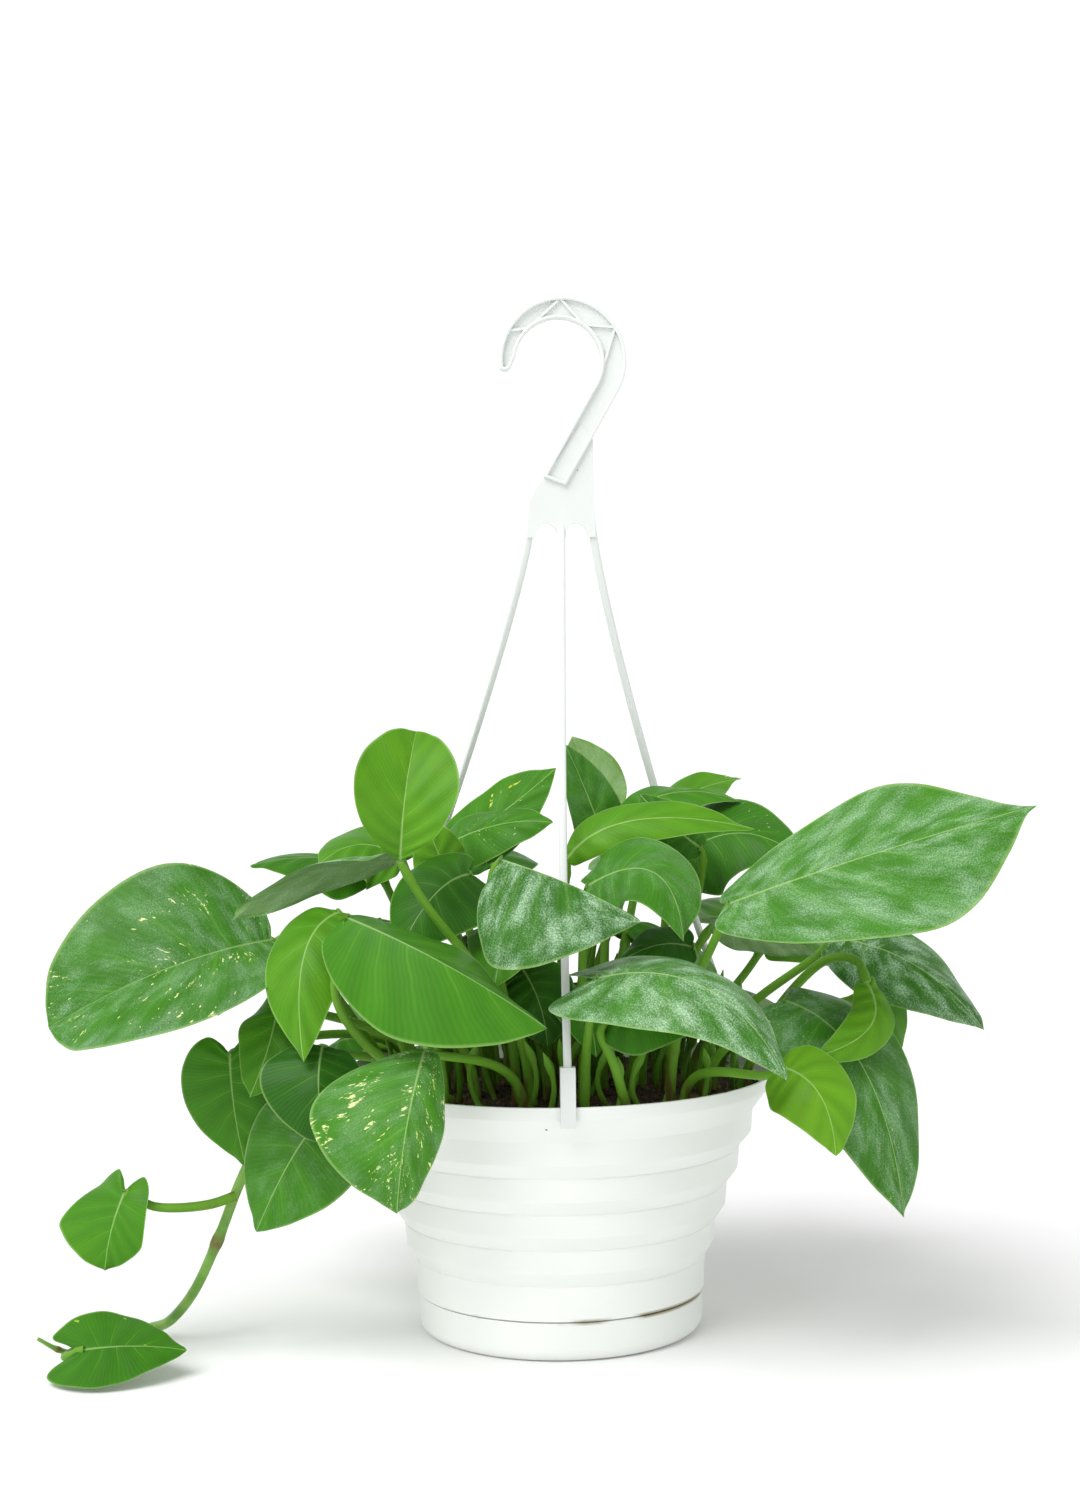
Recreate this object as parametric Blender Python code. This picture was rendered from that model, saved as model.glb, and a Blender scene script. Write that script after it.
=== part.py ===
"""Potted pothos in a moulded hanging pot: pot, clip-on saucer, three-strand hanger, soil,
a trailing vine and one solid for every leaf with its stalk.

Frame: the origin is on the ground under the centre of the saucer, +Z up, the front is -Y.
Sizes are written in millimetres and turned into metres where the meshes are made.
"""
import math

import bmesh
import bpy
import numpy as np

MM = 0.001
GAP = 0.3                   # clearance between pieces that touch

# ---- pot and saucer -------------------------------------------------------------------
RIM_RADIUS = 101.5          # outside of the lip: an eight inch basket
POT_TOP = 121.7             # height of the rim above the ground
WALL = 1.5
LIP_HEIGHT = 6.2
LIP_TAPER = 1.5             # the lip leans in by this much at its lower edge
RING_COUNT = 5              # stepped rings between the saucer and the lip
RING_FLARE = 6.8            # height of the sloping part of a ring
BAND_TAPER = 0.9            # a band widens by this much from bottom to top
WAIST_RADIUS = 67.6         # pot wall at the saucer
TOP_CREASE_RADIUS = 91.5    # the crease under the lip
CREASE_CURVE = 0.23         # growth of the rings' steps from bottom to top
FIRST_BAND_TAPER = 0.6
FIRST_BAND_HEIGHT = 16.6
TOP_FLARE = 11.1            # height of the slope from the top crease to the lip
LIP_ROUND = 0.5
SEAM = 0.7                  # open line between the saucer and the pot
SAUCER_HEIGHT = 18.2
SAUCER_WALL = 1.5
SAUCER_FOOT_FILLET = 6.0
SAUCER_SETBACK = 0.8        # the saucer's wall stands this much inside the pot's
FLOOR_HEIGHT = 6.0          # underside of the pot's floor
SADDLE_RADIUS = 42.0        # ring in the saucer that carries the pot's floor
SADDLE_WIDTH = 3.0
DRAIN_COUNT = 6
DRAIN_RADIUS = 4.0
DRAIN_CIRCLE = 26.0
TURNED_SIDES = 40

# ---- soil -----------------------------------------------------------------------------
SOIL_DROP = 9.0             # soil surface below the rim
SOIL_CROWN = 2.0            # how much the middle stands above the edge

# ---- hanger ---------------------------------------------------------------------------
HOOK_TOP = 483.1            # highest point of the hook above the ground
HOOK_OUTER_RADIUS = 29.6
HOOK_CENTRE_X = 6.2
EYE_RADIUS = 20.0           # inside of the hook
EYE_OFFSET = (-2.2, -0.5)   # centre of the inside arc from that of the outside arc
HOOK_DEPTH = 7.0            # flange depth, front to back
WEB_DEPTH = 2.4
FLANGE_WIDTH = 1.6
PLATE_DEPTH = 3.2
PLATE_DROP = 105.1          # hook top down to the foot of the plate
PLATE_LEFT = -11.4
PLATE_RIGHT = 20.6
STRAND_WIDTH = 3.6
STRAND_DEPTH = 2.8
STRAND_SUNK = 2.0           # how far a strand's end reaches into the plate
LEG_WIDTH = 3.8             # the plate's foot over each strand
PLATE_NECK_RIGHT = 14.0     # where the plate's narrow top runs into the hook
PLATE_NECK_LEFT = -1.0
PLATE_HEIGHT = 46.0         # from the arches' crowns to the top of the plate's right side
PLATE_SHOULDER = 24.0       # the same on its left side, where the sloping shoulder ends
PLATE_RIGHT_EDGE = ((0.6, 20.0), (0.8, 39.0))   # how far in and how high each bend is, going up
PLATE_LEFT_EDGE = ((5.3, 17.0), (1.5, 11.0), (0.4, 4.0))    # the same, going down
CLIP_WIDTH = 6.6
CLIP_RISE = 17.5            # clip body above the rim
CLIP_TAIL = 2.6             # clip prong below the lip
BARB = 0.9                  # catch at the prong's end, under the lip
PRONG = 2.0                 # thickness of a clip's outer prong
HANGER_AZIMUTH = -88.0      # the front strand, degrees from +X
SHANK_LEAN = 30.0           # degrees from upright
SHANK_LENGTH = 50.0
RIB_WIDTH = 1.2
RIB_DEPTH = 5.4
RIB_NODES = [("back", 151), ("eye", 131), ("back", 92), ("eye", 55), ("back", 32), ("eye", -12)]
ARCH_HEIGHT = 6.5
STRAND_BELLY = 0.55         # share of the clip's radius that a strand's bend reaches
STRAND_ROWS = 10
STRAND_SECTION = [(1, 0.5), (0.7, 1), (-0.7, 1), (-1, 0.5), (-1, -0.5), (-0.7, -1), (0.7, -1), (1, -0.5)]

# ---- plant ----------------------------------------------------------------------------
PLAN_RIM_RADIUS = 101.5     # the rim that the leaf plan below was drawn for
PLAN_POT_TOP = 121.7
STALK_RADIUS = 1.8          # at the blade
STALK_ROOT_RADIUS = 2.3     # at the soil
BLADE_THICKNESS = 0.8
VINE_RADIUS = 2.7
BLADE_HALF_COLUMNS = 2      # columns of faces on each side of the midrib
BLADE_ROWS = 6
STALK_ROWS = 6
RIB_SWEEP = 2.3             # how far the side ribs lean towards the tip

# Blade outlines: lobe behind the stalk, place of the widest point, fullness of the tip.
HEART = (0.15, 0.24, 0.0)
OVATE = (0.08, 0.30, 0.1)
NARROW = (0.04, 0.34, 0.1)
SPOON = (0.0, 0.50, 0.6)
TRAIL_HEART = (0.26, 0.14, 0.0)
BLUNT = (0.06, 0.36, 0.8)


def leaf(base, bend, tip, face, width, shape=OVATE, root=(0, 0), fold=-8, cup=-12, tip_face=None,
         route=None, skew=0.0):
    """One leaf of the plan: its midrib runs from base to tip and is pulled towards bend.

    face is the way the upper side looks at the base, and tip_face the way it looks at the
    tip. fold turns each half up from the midrib and cup curls it further, in degrees.
    root is where the stalk leaves the soil; a leaf with a route gives its stalk's own way.
    skew widens the half on the midrib's left by that share and narrows the other.
    """
    return dict(base=base, bend=bend, tip=tip, face=face, tip_face=tip_face or face, width=width,
                shape=shape, root=root, fold=fold, cup=cup, route=route, skew=skew)


LEAVES = {
    "left_large": leaf((-130, -40, 189), (-172, -70, 186), (-228, -60, 153), (-0.1, -0.7, 0.7),
        100, (0.06, 0.34, 0.5), fold=18, cup=0, tip_face=(-0.15, -0.75, 0.6),
        route=[(-72, -12, 116), (-88, -22, 140), (-108, -32, 170)]),
    "left_back": leaf((-85, 22, 216), (-118, 30, 225), (-145, 12, 218), (0, -0.3, 1), 58, OVATE,
        root=(-57, 15), fold=-8, cup=-20),
    "left_curled": leaf((-72, -28, 223), (-106, -45, 229), (-143, -78, 202), (0.1, 0.75, 0.6), 26, NARROW,
        root=(-52, -16), fold=-10, cup=-20, tip_face=(0.25, 0.75, 0.6)),
    "crown_round": leaf((-68, -90, 228), (-66, -98, 260), (-61, -72, 284), (0.08, -0.95, 0.3), 47, SPOON,
        fold=12, cup=10, tip_face=(0.08, -0.8, 0.6),
        route=[(-12, -60, 116), (-18, -70, 150), (-36, -79, 180), (-56, -86, 207)]),
    "left_lime": leaf((-97, -66, 204), (-118, -94, 199), (-110, -102, 143), (-0.35, -0.85, 0.4),
        40, OVATE, root=(-37, -59), fold=-12, cup=-12, tip_face=(-0.3, -0.9, 0.3)),
    "front_left_broad": leaf((-90, -106, 206), (-46, -134, 191), (-5, -126, 160), (0.05, -0.6, 0.8),
        76, (0.1, 0.38, 0.2), fold=-36, cup=-8, tip_face=(0.15, -0.62, 0.76),
        route=[(-48, -58, 117), (-66, -72, 131), (-86, -88, 150), (-96, -104, 174)]),
    "left_heart": leaf((-149, -46, 138), (-148, -53, 114), (-142, -50, 87), (-0.3, -0.85, 0.4), 54, HEART,
        root=(-66, -6), fold=-4, cup=-10),
    "left_fresh": leaf((-125, -62, 165), (-125, -78, 149), (-137, -74, 123), (-0.2, -0.9, 0.35),
        36, OVATE, root=(-56, -42), fold=-10, cup=-12),
    "left_dark_fold": leaf((-103, -90, 148), (-106, -110, 132), (-100, -102, 106), (0.15, -0.9, 0.35),
        52, OVATE, root=(-56, -57), fold=-20, cup=-8),
    "left_dark_low": leaf((-104, -70, 115), (-119, -80, 101), (-135, -74, 63), (-0.2, -0.9, 0.4),
        58, OVATE, fold=-8, cup=-12,
        route=[(-70, -42, 117.5), (-82, -48, 127.5), (-94, -56, 129)]),
    "front_left_speckled": leaf((-57, -118, 151), (-66, -150, 122), (-69, -134, 84), (-0.05, -0.88, 0.45),
        64, (0.05, 0.45, 0.3), root=(-16, -74), fold=-18, cup=-12, tip_face=(0.1, -0.95, 0.2), skew=-0.48),
    "mid_yellow_back": leaf((-50, 0, 227), (-26, 2, 240), (1, -4, 264), (0.15, -0.75, 0.65), 36, OVATE,
        root=(-31, 13), fold=-8, cup=-10),
    "mid_yellow_front": leaf((-51, -12, 229), (-25, -30, 244), (-1, -32, 240), (0.1, -0.7, 0.7),
        36, OVATE, root=(-22, -4), fold=-8, cup=-16),
    "left_back_lime": leaf((-72, 8, 220), (-92, 10, 237), (-112, 0, 219), (-0.1, -0.5, 0.85), 52, OVATE,
        root=(-45, 2), fold=-6, cup=-20),
    "crown_patch": leaf((-50, -36, 215), (-53, -42, 229), (-60, -34, 241), (0.1, -0.85, 0.5), 26, OVATE,
        root=(-33, -19), fold=0, cup=-10),
    "crown_shade": leaf((-39, -52, 219), (-56, -68, 218), (-71, -70, 184), (-0.2, -0.85, 0.5), 50, HEART,
        root=(-14, -26), fold=-8, cup=-20),
    "front_silver": leaf((-24, -105, 230), (7, -124, 222), (35, -121, 204), (0, -0.5, 0.85),
        64, (0.08, 0.18, 0.1), root=(-19, -54), fold=-50, cup=-6, tip_face=(0, -0.5, 0.85), skew=-0.4),
    "mid_arching": leaf((14, -70, 215), (51, -88, 239), (54, -102, 193), (0.1, -0.65, 0.75),
        54, (0.1, 0.26, 0), root=(11, -51), fold=-8, cup=-22, tip_face=(0.5, -0.7, 0.4)),
    "mid_long_lime": leaf((5, -46, 225), (25, -50, 253), (90, -46, 237), (-0.1, -0.7, 0.7),
        24, (0.05, 0.3, 0.2), root=(1, -17), fold=-6, cup=-16, tip_face=(0, -0.7, 0.7)),
    "crown_spear": leaf((23, -8, 229), (16, -12, 251), (5, -8, 275), (0.1, -0.95, 0.3), 26, OVATE,
        root=(21, -14), fold=10, cup=10),
    "crown_pale": leaf((25, 34, 238), (18, 44, 258), (9, 38, 277), (0.1, 0.9, 0.25), 32, NARROW,
        root=(12, 16), fold=14, cup=20),
    "right_back_spear": leaf((52, 50, 242), (72, 54, 252), (92, 50, 255), (0.1, -0.5, 0.85), 30, OVATE,
        root=(29, 11), fold=-8, cup=-10),
    "right_back_flat": leaf((34, 6, 243), (61, 10, 258), (88, 8, 246), (0.05, -0.4, 0.9), 30, OVATE,
        root=(8, 0), fold=-8, cup=-18),
    "right_yellow_tip": leaf((55, -2, 219), (85, -10, 245), (112, -24, 222), (0.1, -0.65, 0.75),
        58, OVATE, root=(49, 7), fold=-8, cup=-20, tip_face=(0.4, -0.7, 0.5)),
    "right_dark_small": leaf((66, -30, 228), (53, -34, 237), (39, -24, 252), (-0.2, -0.85, 0.5),
        24, OVATE, root=(39, -8), fold=-10, cup=-14),
    "right_large": leaf((74, -98, 209), (129, -115, 231), (209, -88, 249), (-0.05, -0.45, 0.85),
        78, (0.1, 0.5, -0.3), root=(50, -59), fold=-8, cup=10, tip_face=(0.05, -0.85, 0.5), skew=-0.14),
    "right_low_dark": leaf((126, -42, 187), (165, -56, 183), (190, -62, 147), (0.2, -0.7, 0.65),
        48, OVATE, root=(71, -22), fold=-14, cup=-18, tip_face=(0.4, -0.75, 0.5)),
    "front_right_silver": leaf((17, -116, 180), (67, -160, 197), (93, -150, 141), (0.05, -0.6, 0.8),
        54, (0.2, 0.28, 0), root=(11, -81), fold=-10, cup=-26, tip_face=(0.45, -0.65, 0.5)),
    "front_small": leaf((24, -98, 162), (45, -116, 170), (68, -112, 160), (0, -0.85, 0.5), 40, HEART,
        fold=-6, cup=-20,
        route=[(30, -82, 115), (24, -92, 138), (18, -98, 154)]),
    "right_drooping": leaf((101, -66, 162), (140, -104, 154), (150, -88, 69), (0.3, -0.75, 0.55),
        62, OVATE, root=(66, -44), fold=-10, cup=-14, tip_face=(0.45, -0.8, 0.3)),
    "right_lime_low": leaf((95, -104, 139), (114, -130, 138), (116, -124, 104), (0.1, -0.85, 0.45),
        40, OVATE, root=(56, -60), fold=-8, cup=-14),
    "right_curled": leaf((136, -78, 171), (147, -98, 151), (109, -100, 142), (0.3, -0.85, 0.4), 22, OVATE,
        fold=-8, cup=-20, tip_face=(0, -0.9, 0.4),
        route=[(84, -24, 116), (98, -34, 150), (118, -50, 176), (132, -66, 180)]),
    "right_sliver": leaf((141, -42, 162), (154, -46, 154), (151, -48, 131), (0.5, -0.8, 0.3), 26, OVATE,
        root=(63, -5), fold=-10, cup=-14),
    "mid_shade": leaf((-16, -44, 175), (-6, -58, 162), (-5, -54, 141), (0.1, -0.9, 0.4), 42, OVATE,
        root=(-5, -42), fold=-8, cup=-14),
    "right_grey_under": leaf((70, -48, 194), (91, -60, 193), (116, -56, 181), (0, 0.5, 0.85), 36, OVATE,
        root=(50, -23), fold=-8, cup=-10),
    "mid_small_dark": leaf((60, -62, 186), (45, -70, 192), (28, -72, 181), (-0.1, -0.7, 0.7), 30, OVATE,
        root=(33, -33), fold=-8, cup=-14),
    "back_left_large": leaf((-88, 70, 185), (-125, 105, 195), (-160, 130, 150), (-0.5, 0.5, 0.7),
        70, OVATE, root=(-62, 51), fold=-8, cup=-14),
    "back_left_low": leaf((-66, 88, 150), (-90, 128, 152), (-96, 138, 95), (-0.4, 0.8, 0.45), 60, HEART,
        root=(-38, 65), fold=-8, cup=-16),
    "back_mid_large": leaf((-14, 82, 192), (-20, 130, 208), (-30, 166, 160), (0, 0.6, 0.8), 74, HEART,
        root=(-2, 47), fold=-6, cup=-14),
    "back_mid_low": leaf((14, 90, 150), (18, 135, 145), (22, 138, 82), (0.1, 0.9, 0.4), 64, OVATE,
        root=(10, 60), fold=-8, cup=-16),
    "back_right_large": leaf((66, 72, 190), (100, 110, 202), (134, 138, 160), (0.4, 0.5, 0.75), 72, OVATE,
        root=(44, 49), fold=-8, cup=-14),
    "back_right_low": leaf((72, 82, 150), (105, 118, 148), (118, 122, 98), (0.6, 0.7, 0.4), 58, HEART,
        root=(47, 68), fold=-8, cup=-16),
    "back_upper": leaf((-30, 44, 214), (-36, 72, 232), (-44, 104, 216), (-0.1, 0.5, 0.85), 56, OVATE,
        root=(-24, 33), fold=-8, cup=-16),
    "back_upper_right": leaf((34, 52, 212), (44, 82, 230), (58, 112, 210), (0.2, 0.5, 0.85), 54, OVATE,
        root=(11, 35), fold=-8, cup=-16),
    "side_left_back": leaf((-98, 34, 172), (-135, 46, 182), (-168, 58, 140), (-0.5, 0.1, 0.85), 58, OVATE,
        root=(-77, 10), fold=-8, cup=-16),
    "side_left_low": leaf((-98, 22, 134), (-124, 36, 130), (-130, 40, 84), (-0.8, 0.1, 0.5), 50, HEART,
        root=(-63, 32), fold=-8, cup=-16),
    "side_right_back": leaf((100, 30, 176), (136, 46, 184), (172, 60, 148), (0.5, 0.1, 0.85), 58, OVATE,
        root=(68, 19), fold=-8, cup=-16),
    "side_right_low": leaf((106, 24, 138), (128, 36, 136), (134, 44, 106), (0.8, 0.1, 0.5), 40, OVATE,
        root=(79, 33), fold=-8, cup=-16),
}

# Leaves of the trailing vine: the last one lies on the ground.
VINE = [(-68, -30, 118.5), (-84, -33, 126), (-103, -36, 128), (-122, -37, 117), (-136, -38, 98),
        (-146, -44, 78), (-156, -43, 53), (-168, -36, 28), (-181, -25, 11), (-192, -15, 4.5),
        (-202, -22, 3.2), (-213, -40, 3.2), (-219, -56, 4.5), (-226, -65, 9), (-234, -69, 15)]
VINE_TIP_LENGTH = 4         # the last points of the vine taper to the growing tip
VINE_TIP_RADIUS = 0.8
VINE_LEAVES = {
    "trail_twisted": leaf((-196, -56, 78), (-203, -62, 62), (-205, -60, 43), (-0.6, -0.78, 0.1), 44,
        (0.24, 0.5, 0.2), fold=-4, cup=-8, tip_face=(-0.1, -1, 0.1), skew=-0.25,
        route=[(-147, -50, 74), (-158, -53, 71), (-172, -55, 70), (-184, -55, 71), (-192, -56, 76)]),
    "trail_heart": leaf((-211, -82, 13.5), (-188, -84, 17), (-166, -80, 12), (0, -.5, .87), 48, TRAIL_HEART,
        fold=-6, cup=4, route=[(-206, -32, 7.5), (-213, -50, 8), (-220, -66, 7.5), (-220, -77, 9)]),
}


# ---- making meshes --------------------------------------------------------------------
def clear_scene():
    for obj in list(bpy.data.objects):
        bpy.data.objects.remove(obj, do_unlink=True)


def material(name, colour, roughness):
    mat = bpy.data.materials.new(name)
    mat.use_nodes = True
    shader = mat.node_tree.nodes["Principled BSDF"]
    shader.inputs["Base Color"].default_value = (*colour, 1.0)
    shader.inputs["Roughness"].default_value = roughness
    shader.inputs["Metallic"].default_value = 0.0
    mat.diffuse_color = (*colour, 1.0)
    return mat


def add_object(name, verts, faces, finish):
    mesh = bpy.data.meshes.new(name)
    mesh.from_pydata([tuple(float(c) * MM for c in v) for v in verts], [], faces)
    mesh.update()
    mesh.materials.append(finish)
    mesh.shade_smooth()
    mesh.set_sharp_from_angle(angle=math.radians(35))
    obj = bpy.data.objects.new(name, mesh)
    bpy.context.scene.collection.objects.link(obj)
    return obj


def turned(name, profile, finish, sides=TURNED_SIDES):
    """A solid of revolution. The profile starts and ends on the axis, outside first."""
    rings = profile[1:-1]
    verts = [(0.0, 0.0, profile[0][1])]
    for radius, height in rings:
        for j in range(sides):
            turn = 2 * math.pi * j / sides
            verts.append((radius * math.cos(turn), radius * math.sin(turn), height))
    verts.append((0.0, 0.0, profile[-1][1]))
    faces = []
    last = len(verts) - 1
    top = 1 + (len(rings) - 1) * sides
    for j in range(sides):
        k = (j + 1) % sides
        faces.append((0, 1 + k, 1 + j))
        faces.append((last, top + j, top + k))
        for i in range(len(rings) - 1):
            low, high = 1 + i * sides, 1 + (i + 1) * sides
            faces.append((low + j, low + k, high + k, high + j))
    return add_object(name, verts, faces, finish)


def extruded(name, outline, depth, finish):
    """A flat (x, z) outline, listed anticlockwise seen from the front, made depth thick."""
    count = len(outline)
    verts = [(x, -depth / 2, z) for x, z in outline] + [(x, depth / 2, z) for x, z in outline]
    faces = [tuple(range(count)), tuple(range(2 * count - 1, count - 1, -1))]
    for i in range(count):
        j = (i + 1) % count
        faces.append((j, i, count + i, count + j))
    return add_object(name, verts, faces, finish)


def lofted(name, loops, finish, tip=None):
    """Skin over loops of points that run from a capped start to an end that is a cap or a tip.

    The patches of each loop's second half are cut in two as the mirror image of the first
    half's, so the two skins of a thin blade bend alike and never cross.
    """
    sides = len(loops[0])
    verts = [p for loop in loops for p in loop]
    faces = [tuple(reversed(range(sides)))]
    for i in range(len(loops) - 1):
        low, high = i * sides, (i + 1) * sides
        for j in range(sides):
            k = (j + 1) % sides
            if j < sides // 2:
                faces += [(low + j, low + k, high + k), (low + j, high + k, high + j)]
            else:
                faces += [(low + j, low + k, high + j), (low + k, high + k, high + j)]
    end = (len(loops) - 1) * sides
    if tip is None:
        faces.append(tuple(range(end, end + sides)))
    else:
        verts.append(tip)
        for j in range(sides):
            faces.append((end + j, end + (j + 1) % sides, len(verts) - 1))
    return add_object(name, verts, faces, finish)


def boolean(target, others, operation):
    """Join or cut target with the other objects, one after another, then drop them."""
    for other in others:
        modifier = target.modifiers.new(operation, "BOOLEAN")
        modifier.operation = operation
        modifier.solver = "EXACT"
        modifier.object = other
    bpy.context.view_layer.update()
    graph = bpy.context.evaluated_depsgraph_get()
    mesh = bpy.data.meshes.new_from_object(target.evaluated_get(graph))
    target.modifiers.clear()
    target.data = mesh
    for other in others:
        bpy.data.objects.remove(other, do_unlink=True)
    return target


# ---- curves and frames ----------------------------------------------------------------
def unit(v):
    v = np.asarray(v, float)
    return v / max(np.linalg.norm(v), 1e-9)


def bezier(points, t):
    """A point on the Bezier curve through any number of control points."""
    pts = [np.asarray(p, float) for p in points]
    while len(pts) > 1:
        pts = [a + (b - a) * t for a, b in zip(pts, pts[1:])]
    return pts[0]


def through(points, t):
    """A point on the smooth (Catmull-Rom) curve through the points, t from 0 to 1."""
    pts = [np.asarray(p, float) for p in points]
    pts = [2 * pts[0] - pts[1]] + pts + [2 * pts[-1] - pts[-2]]
    span = min(int(t * (len(pts) - 3)), len(pts) - 4)
    u = t * (len(pts) - 3) - span
    a, b, c, d = pts[span:span + 4]
    return 0.5 * (2 * b + (c - a) * u + (2 * a - 5 * b + 4 * c - d) * u * u
                  + (3 * b - a - 3 * c + d) * u ** 3)


def ring(centre, side, up, radius, count):
    """A loop round a centre that starts at side and climbs towards up first."""
    loop = []
    for k in range(count):
        turn = 2 * math.pi * k / count
        loop.append(centre + side * radius * math.cos(turn) + up * radius * math.sin(turn))
    return loop


def tube_loops(path, radii, count, side):
    """Loops round a path; side is the starting sideways direction, carried without twisting."""
    path = [np.asarray(p, float) for p in path]
    loops = []
    for i, centre in enumerate(path):
        ahead = path[min(i + 1, len(path) - 1)] - path[max(i - 1, 0)]
        along = unit(ahead)
        side = unit(side - along * np.dot(side, along))
        loops.append(ring(centre, side, np.cross(along, side), radii[i], count))
    return loops


# ---- pot, saucer and soil -------------------------------------------------------------
def crease_points():
    """Radius and height of the creases between the pot's stepped rings, lowest first."""
    spans = RING_COUNT - 1
    lowest_radius = WAIST_RADIUS + FIRST_BAND_TAPER
    lowest_height = SAUCER_HEIGHT + FIRST_BAND_HEIGHT
    top_height = POT_TOP - LIP_HEIGHT - TOP_FLARE
    slope = (TOP_CREASE_RADIUS - lowest_radius) / spans - CREASE_CURVE * spans
    return [(lowest_radius + slope * k + CREASE_CURVE * k * k,
             lowest_height + (top_height - lowest_height) * k / spans) for k in range(RING_COUNT)]


def wall_profile():
    """Outside of the pot from the shoulder on the saucer to the underside of the lip."""
    creases = crease_points()
    shoulder = SAUCER_HEIGHT + SEAM
    points = [(WAIST_RADIUS, shoulder)]
    for (radius, height), (next_radius, _) in zip(creases, creases[1:]):
        points += [(radius, height), (next_radius - BAND_TAPER, height + RING_FLARE)]
    points += [creases[-1], (RIM_RADIUS - LIP_TAPER, POT_TOP - LIP_HEIGHT)]
    return points


def pot_floor_radius():
    return WAIST_RADIUS - SAUCER_SETBACK - SAUCER_WALL - 2 * GAP


def make_pot(finish):
    outside = wall_profile()
    inside = [(radius - WALL, height) for radius, height in reversed(outside[1:])]
    floor_radius = pot_floor_radius()
    shoulder = outside[0][1]
    lip = [(RIM_RADIUS, POT_TOP - LIP_ROUND), (RIM_RADIUS - LIP_ROUND, POT_TOP),
           (RIM_RADIUS - WALL + LIP_ROUND, POT_TOP), (RIM_RADIUS - WALL, POT_TOP - LIP_ROUND)]
    foot = [(0, FLOOR_HEIGHT), (floor_radius - WALL, FLOOR_HEIGHT), (floor_radius, FLOOR_HEIGHT + WALL),
            (floor_radius, shoulder)]
    basin = [(WAIST_RADIUS - WALL, shoulder + 2 * WALL), (floor_radius - WALL, shoulder + WALL),
             (floor_radius - WALL, FLOOR_HEIGHT + 2 * WALL), (floor_radius - 2 * WALL, FLOOR_HEIGHT + WALL),
             (0, FLOOR_HEIGHT + WALL)]
    pot = turned("pot", foot + outside + lip + inside + basin, finish)
    drills = []
    for i in range(DRAIN_COUNT):
        turn = 2 * math.pi * (i + 0.2) / DRAIN_COUNT
        drill = turned("drill", [(0, 0), (DRAIN_RADIUS, 0), (DRAIN_RADIUS, 2 * FLOOR_HEIGHT),
                                 (0, 2 * FLOOR_HEIGHT)], finish, sides=12)
        drill.location = (DRAIN_CIRCLE * math.cos(turn) * MM, DRAIN_CIRCLE * math.sin(turn) * MM, 0)
        drills.append(drill)
    return boolean(pot, drills, "DIFFERENCE")


def make_saucer(finish):
    outer = WAIST_RADIUS - SAUCER_SETBACK
    inner = outer - SAUCER_WALL
    fillet = []
    for i in range(5):
        turn = math.pi / 2 * i / 4
        fillet.append((outer - SAUCER_FOOT_FILLET * (1 - math.sin(turn)),
                       SAUCER_FOOT_FILLET * (1 - math.cos(turn))))
    saddle_top = FLOOR_HEIGHT - GAP
    saddle_out, saddle_in = SADDLE_RADIUS + SADDLE_WIDTH / 2, SADDLE_RADIUS - SADDLE_WIDTH / 2
    profile = [(0, 0)] + fillet + [
        (outer, SAUCER_HEIGHT), (inner, SAUCER_HEIGHT), (inner, SAUCER_FOOT_FILLET),
        (inner - SAUCER_FOOT_FILLET + SAUCER_WALL, SAUCER_WALL), (saddle_out, SAUCER_WALL),
        (saddle_out, saddle_top), (saddle_in, saddle_top), (saddle_in, SAUCER_WALL), (0, SAUCER_WALL)]
    return turned("drip_saucer", profile, finish)


def soil_edge_radius(height):
    """Inside radius of the pot at a height above the top crease, less the gap."""
    radius, crease = crease_points()[-1]
    slope = (RIM_RADIUS - LIP_TAPER - radius) / TOP_FLARE
    return radius + slope * (height - crease) - WALL - 2 * GAP


def soil_top():
    return POT_TOP - SOIL_DROP


def make_soil(finish):
    floor_radius = pot_floor_radius() - 2 * WALL - GAP
    bed = FLOOR_HEIGHT + WALL + GAP
    shoulder = SAUCER_HEIGHT + SEAM + WALL
    profile = [(0, bed), (floor_radius, bed + WALL), (floor_radius, shoulder)]
    profile += [(radius - WALL - 2 * GAP, height) for radius, height in crease_points()]
    edge = soil_edge_radius(soil_top())
    profile += [(edge, soil_top()), (edge * 0.6, soil_top() + SOIL_CROWN * 0.7),
                (0, soil_top() + SOIL_CROWN)]
    return turned("soil", profile, finish)


# ---- hanger ---------------------------------------------------------------------------
def arc(centre, radius, start, end, count):
    """Points on an arc in the (x, z) plane, angles in degrees, both ends included."""
    points = []
    for i in range(count):
        turn = math.radians(start + (end - start) * i / (count - 1))
        points.append((centre[0] + radius * math.cos(turn), centre[1] + radius * math.sin(turn)))
    return points


def hook_centres():
    outer = (HOOK_CENTRE_X, HOOK_TOP - HOOK_OUTER_RADIUS)
    return outer, (outer[0] + EYE_OFFSET[0], outer[1] + EYE_OFFSET[1])


def hook_outline():
    """Front view of the hook and its shank, anticlockwise."""
    outer, eye = hook_centres()
    lean = math.radians(SHANK_LEAN)
    run = (-math.sin(lean) * SHANK_LENGTH, -math.cos(lean) * SHANK_LENGTH)
    back = arc(outer, HOOK_OUTER_RADIUS, -SHANK_LEAN, 187, 21)
    front = arc(eye, EYE_RADIUS, 172, -SHANK_LEAN, 17)
    tip_x, tip_z = back[-1]
    tip = [(tip_x + 1.6, tip_z - 0.9), (tip_x + 3.6, tip_z - 0.7), (tip_x + 5.0, tip_z + 0.6)]
    foot = [(front[-1][0] + run[0], front[-1][1] + run[1]), (back[0][0] + run[0], back[0][1] + run[1])]
    return back + tip + front + foot


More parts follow.
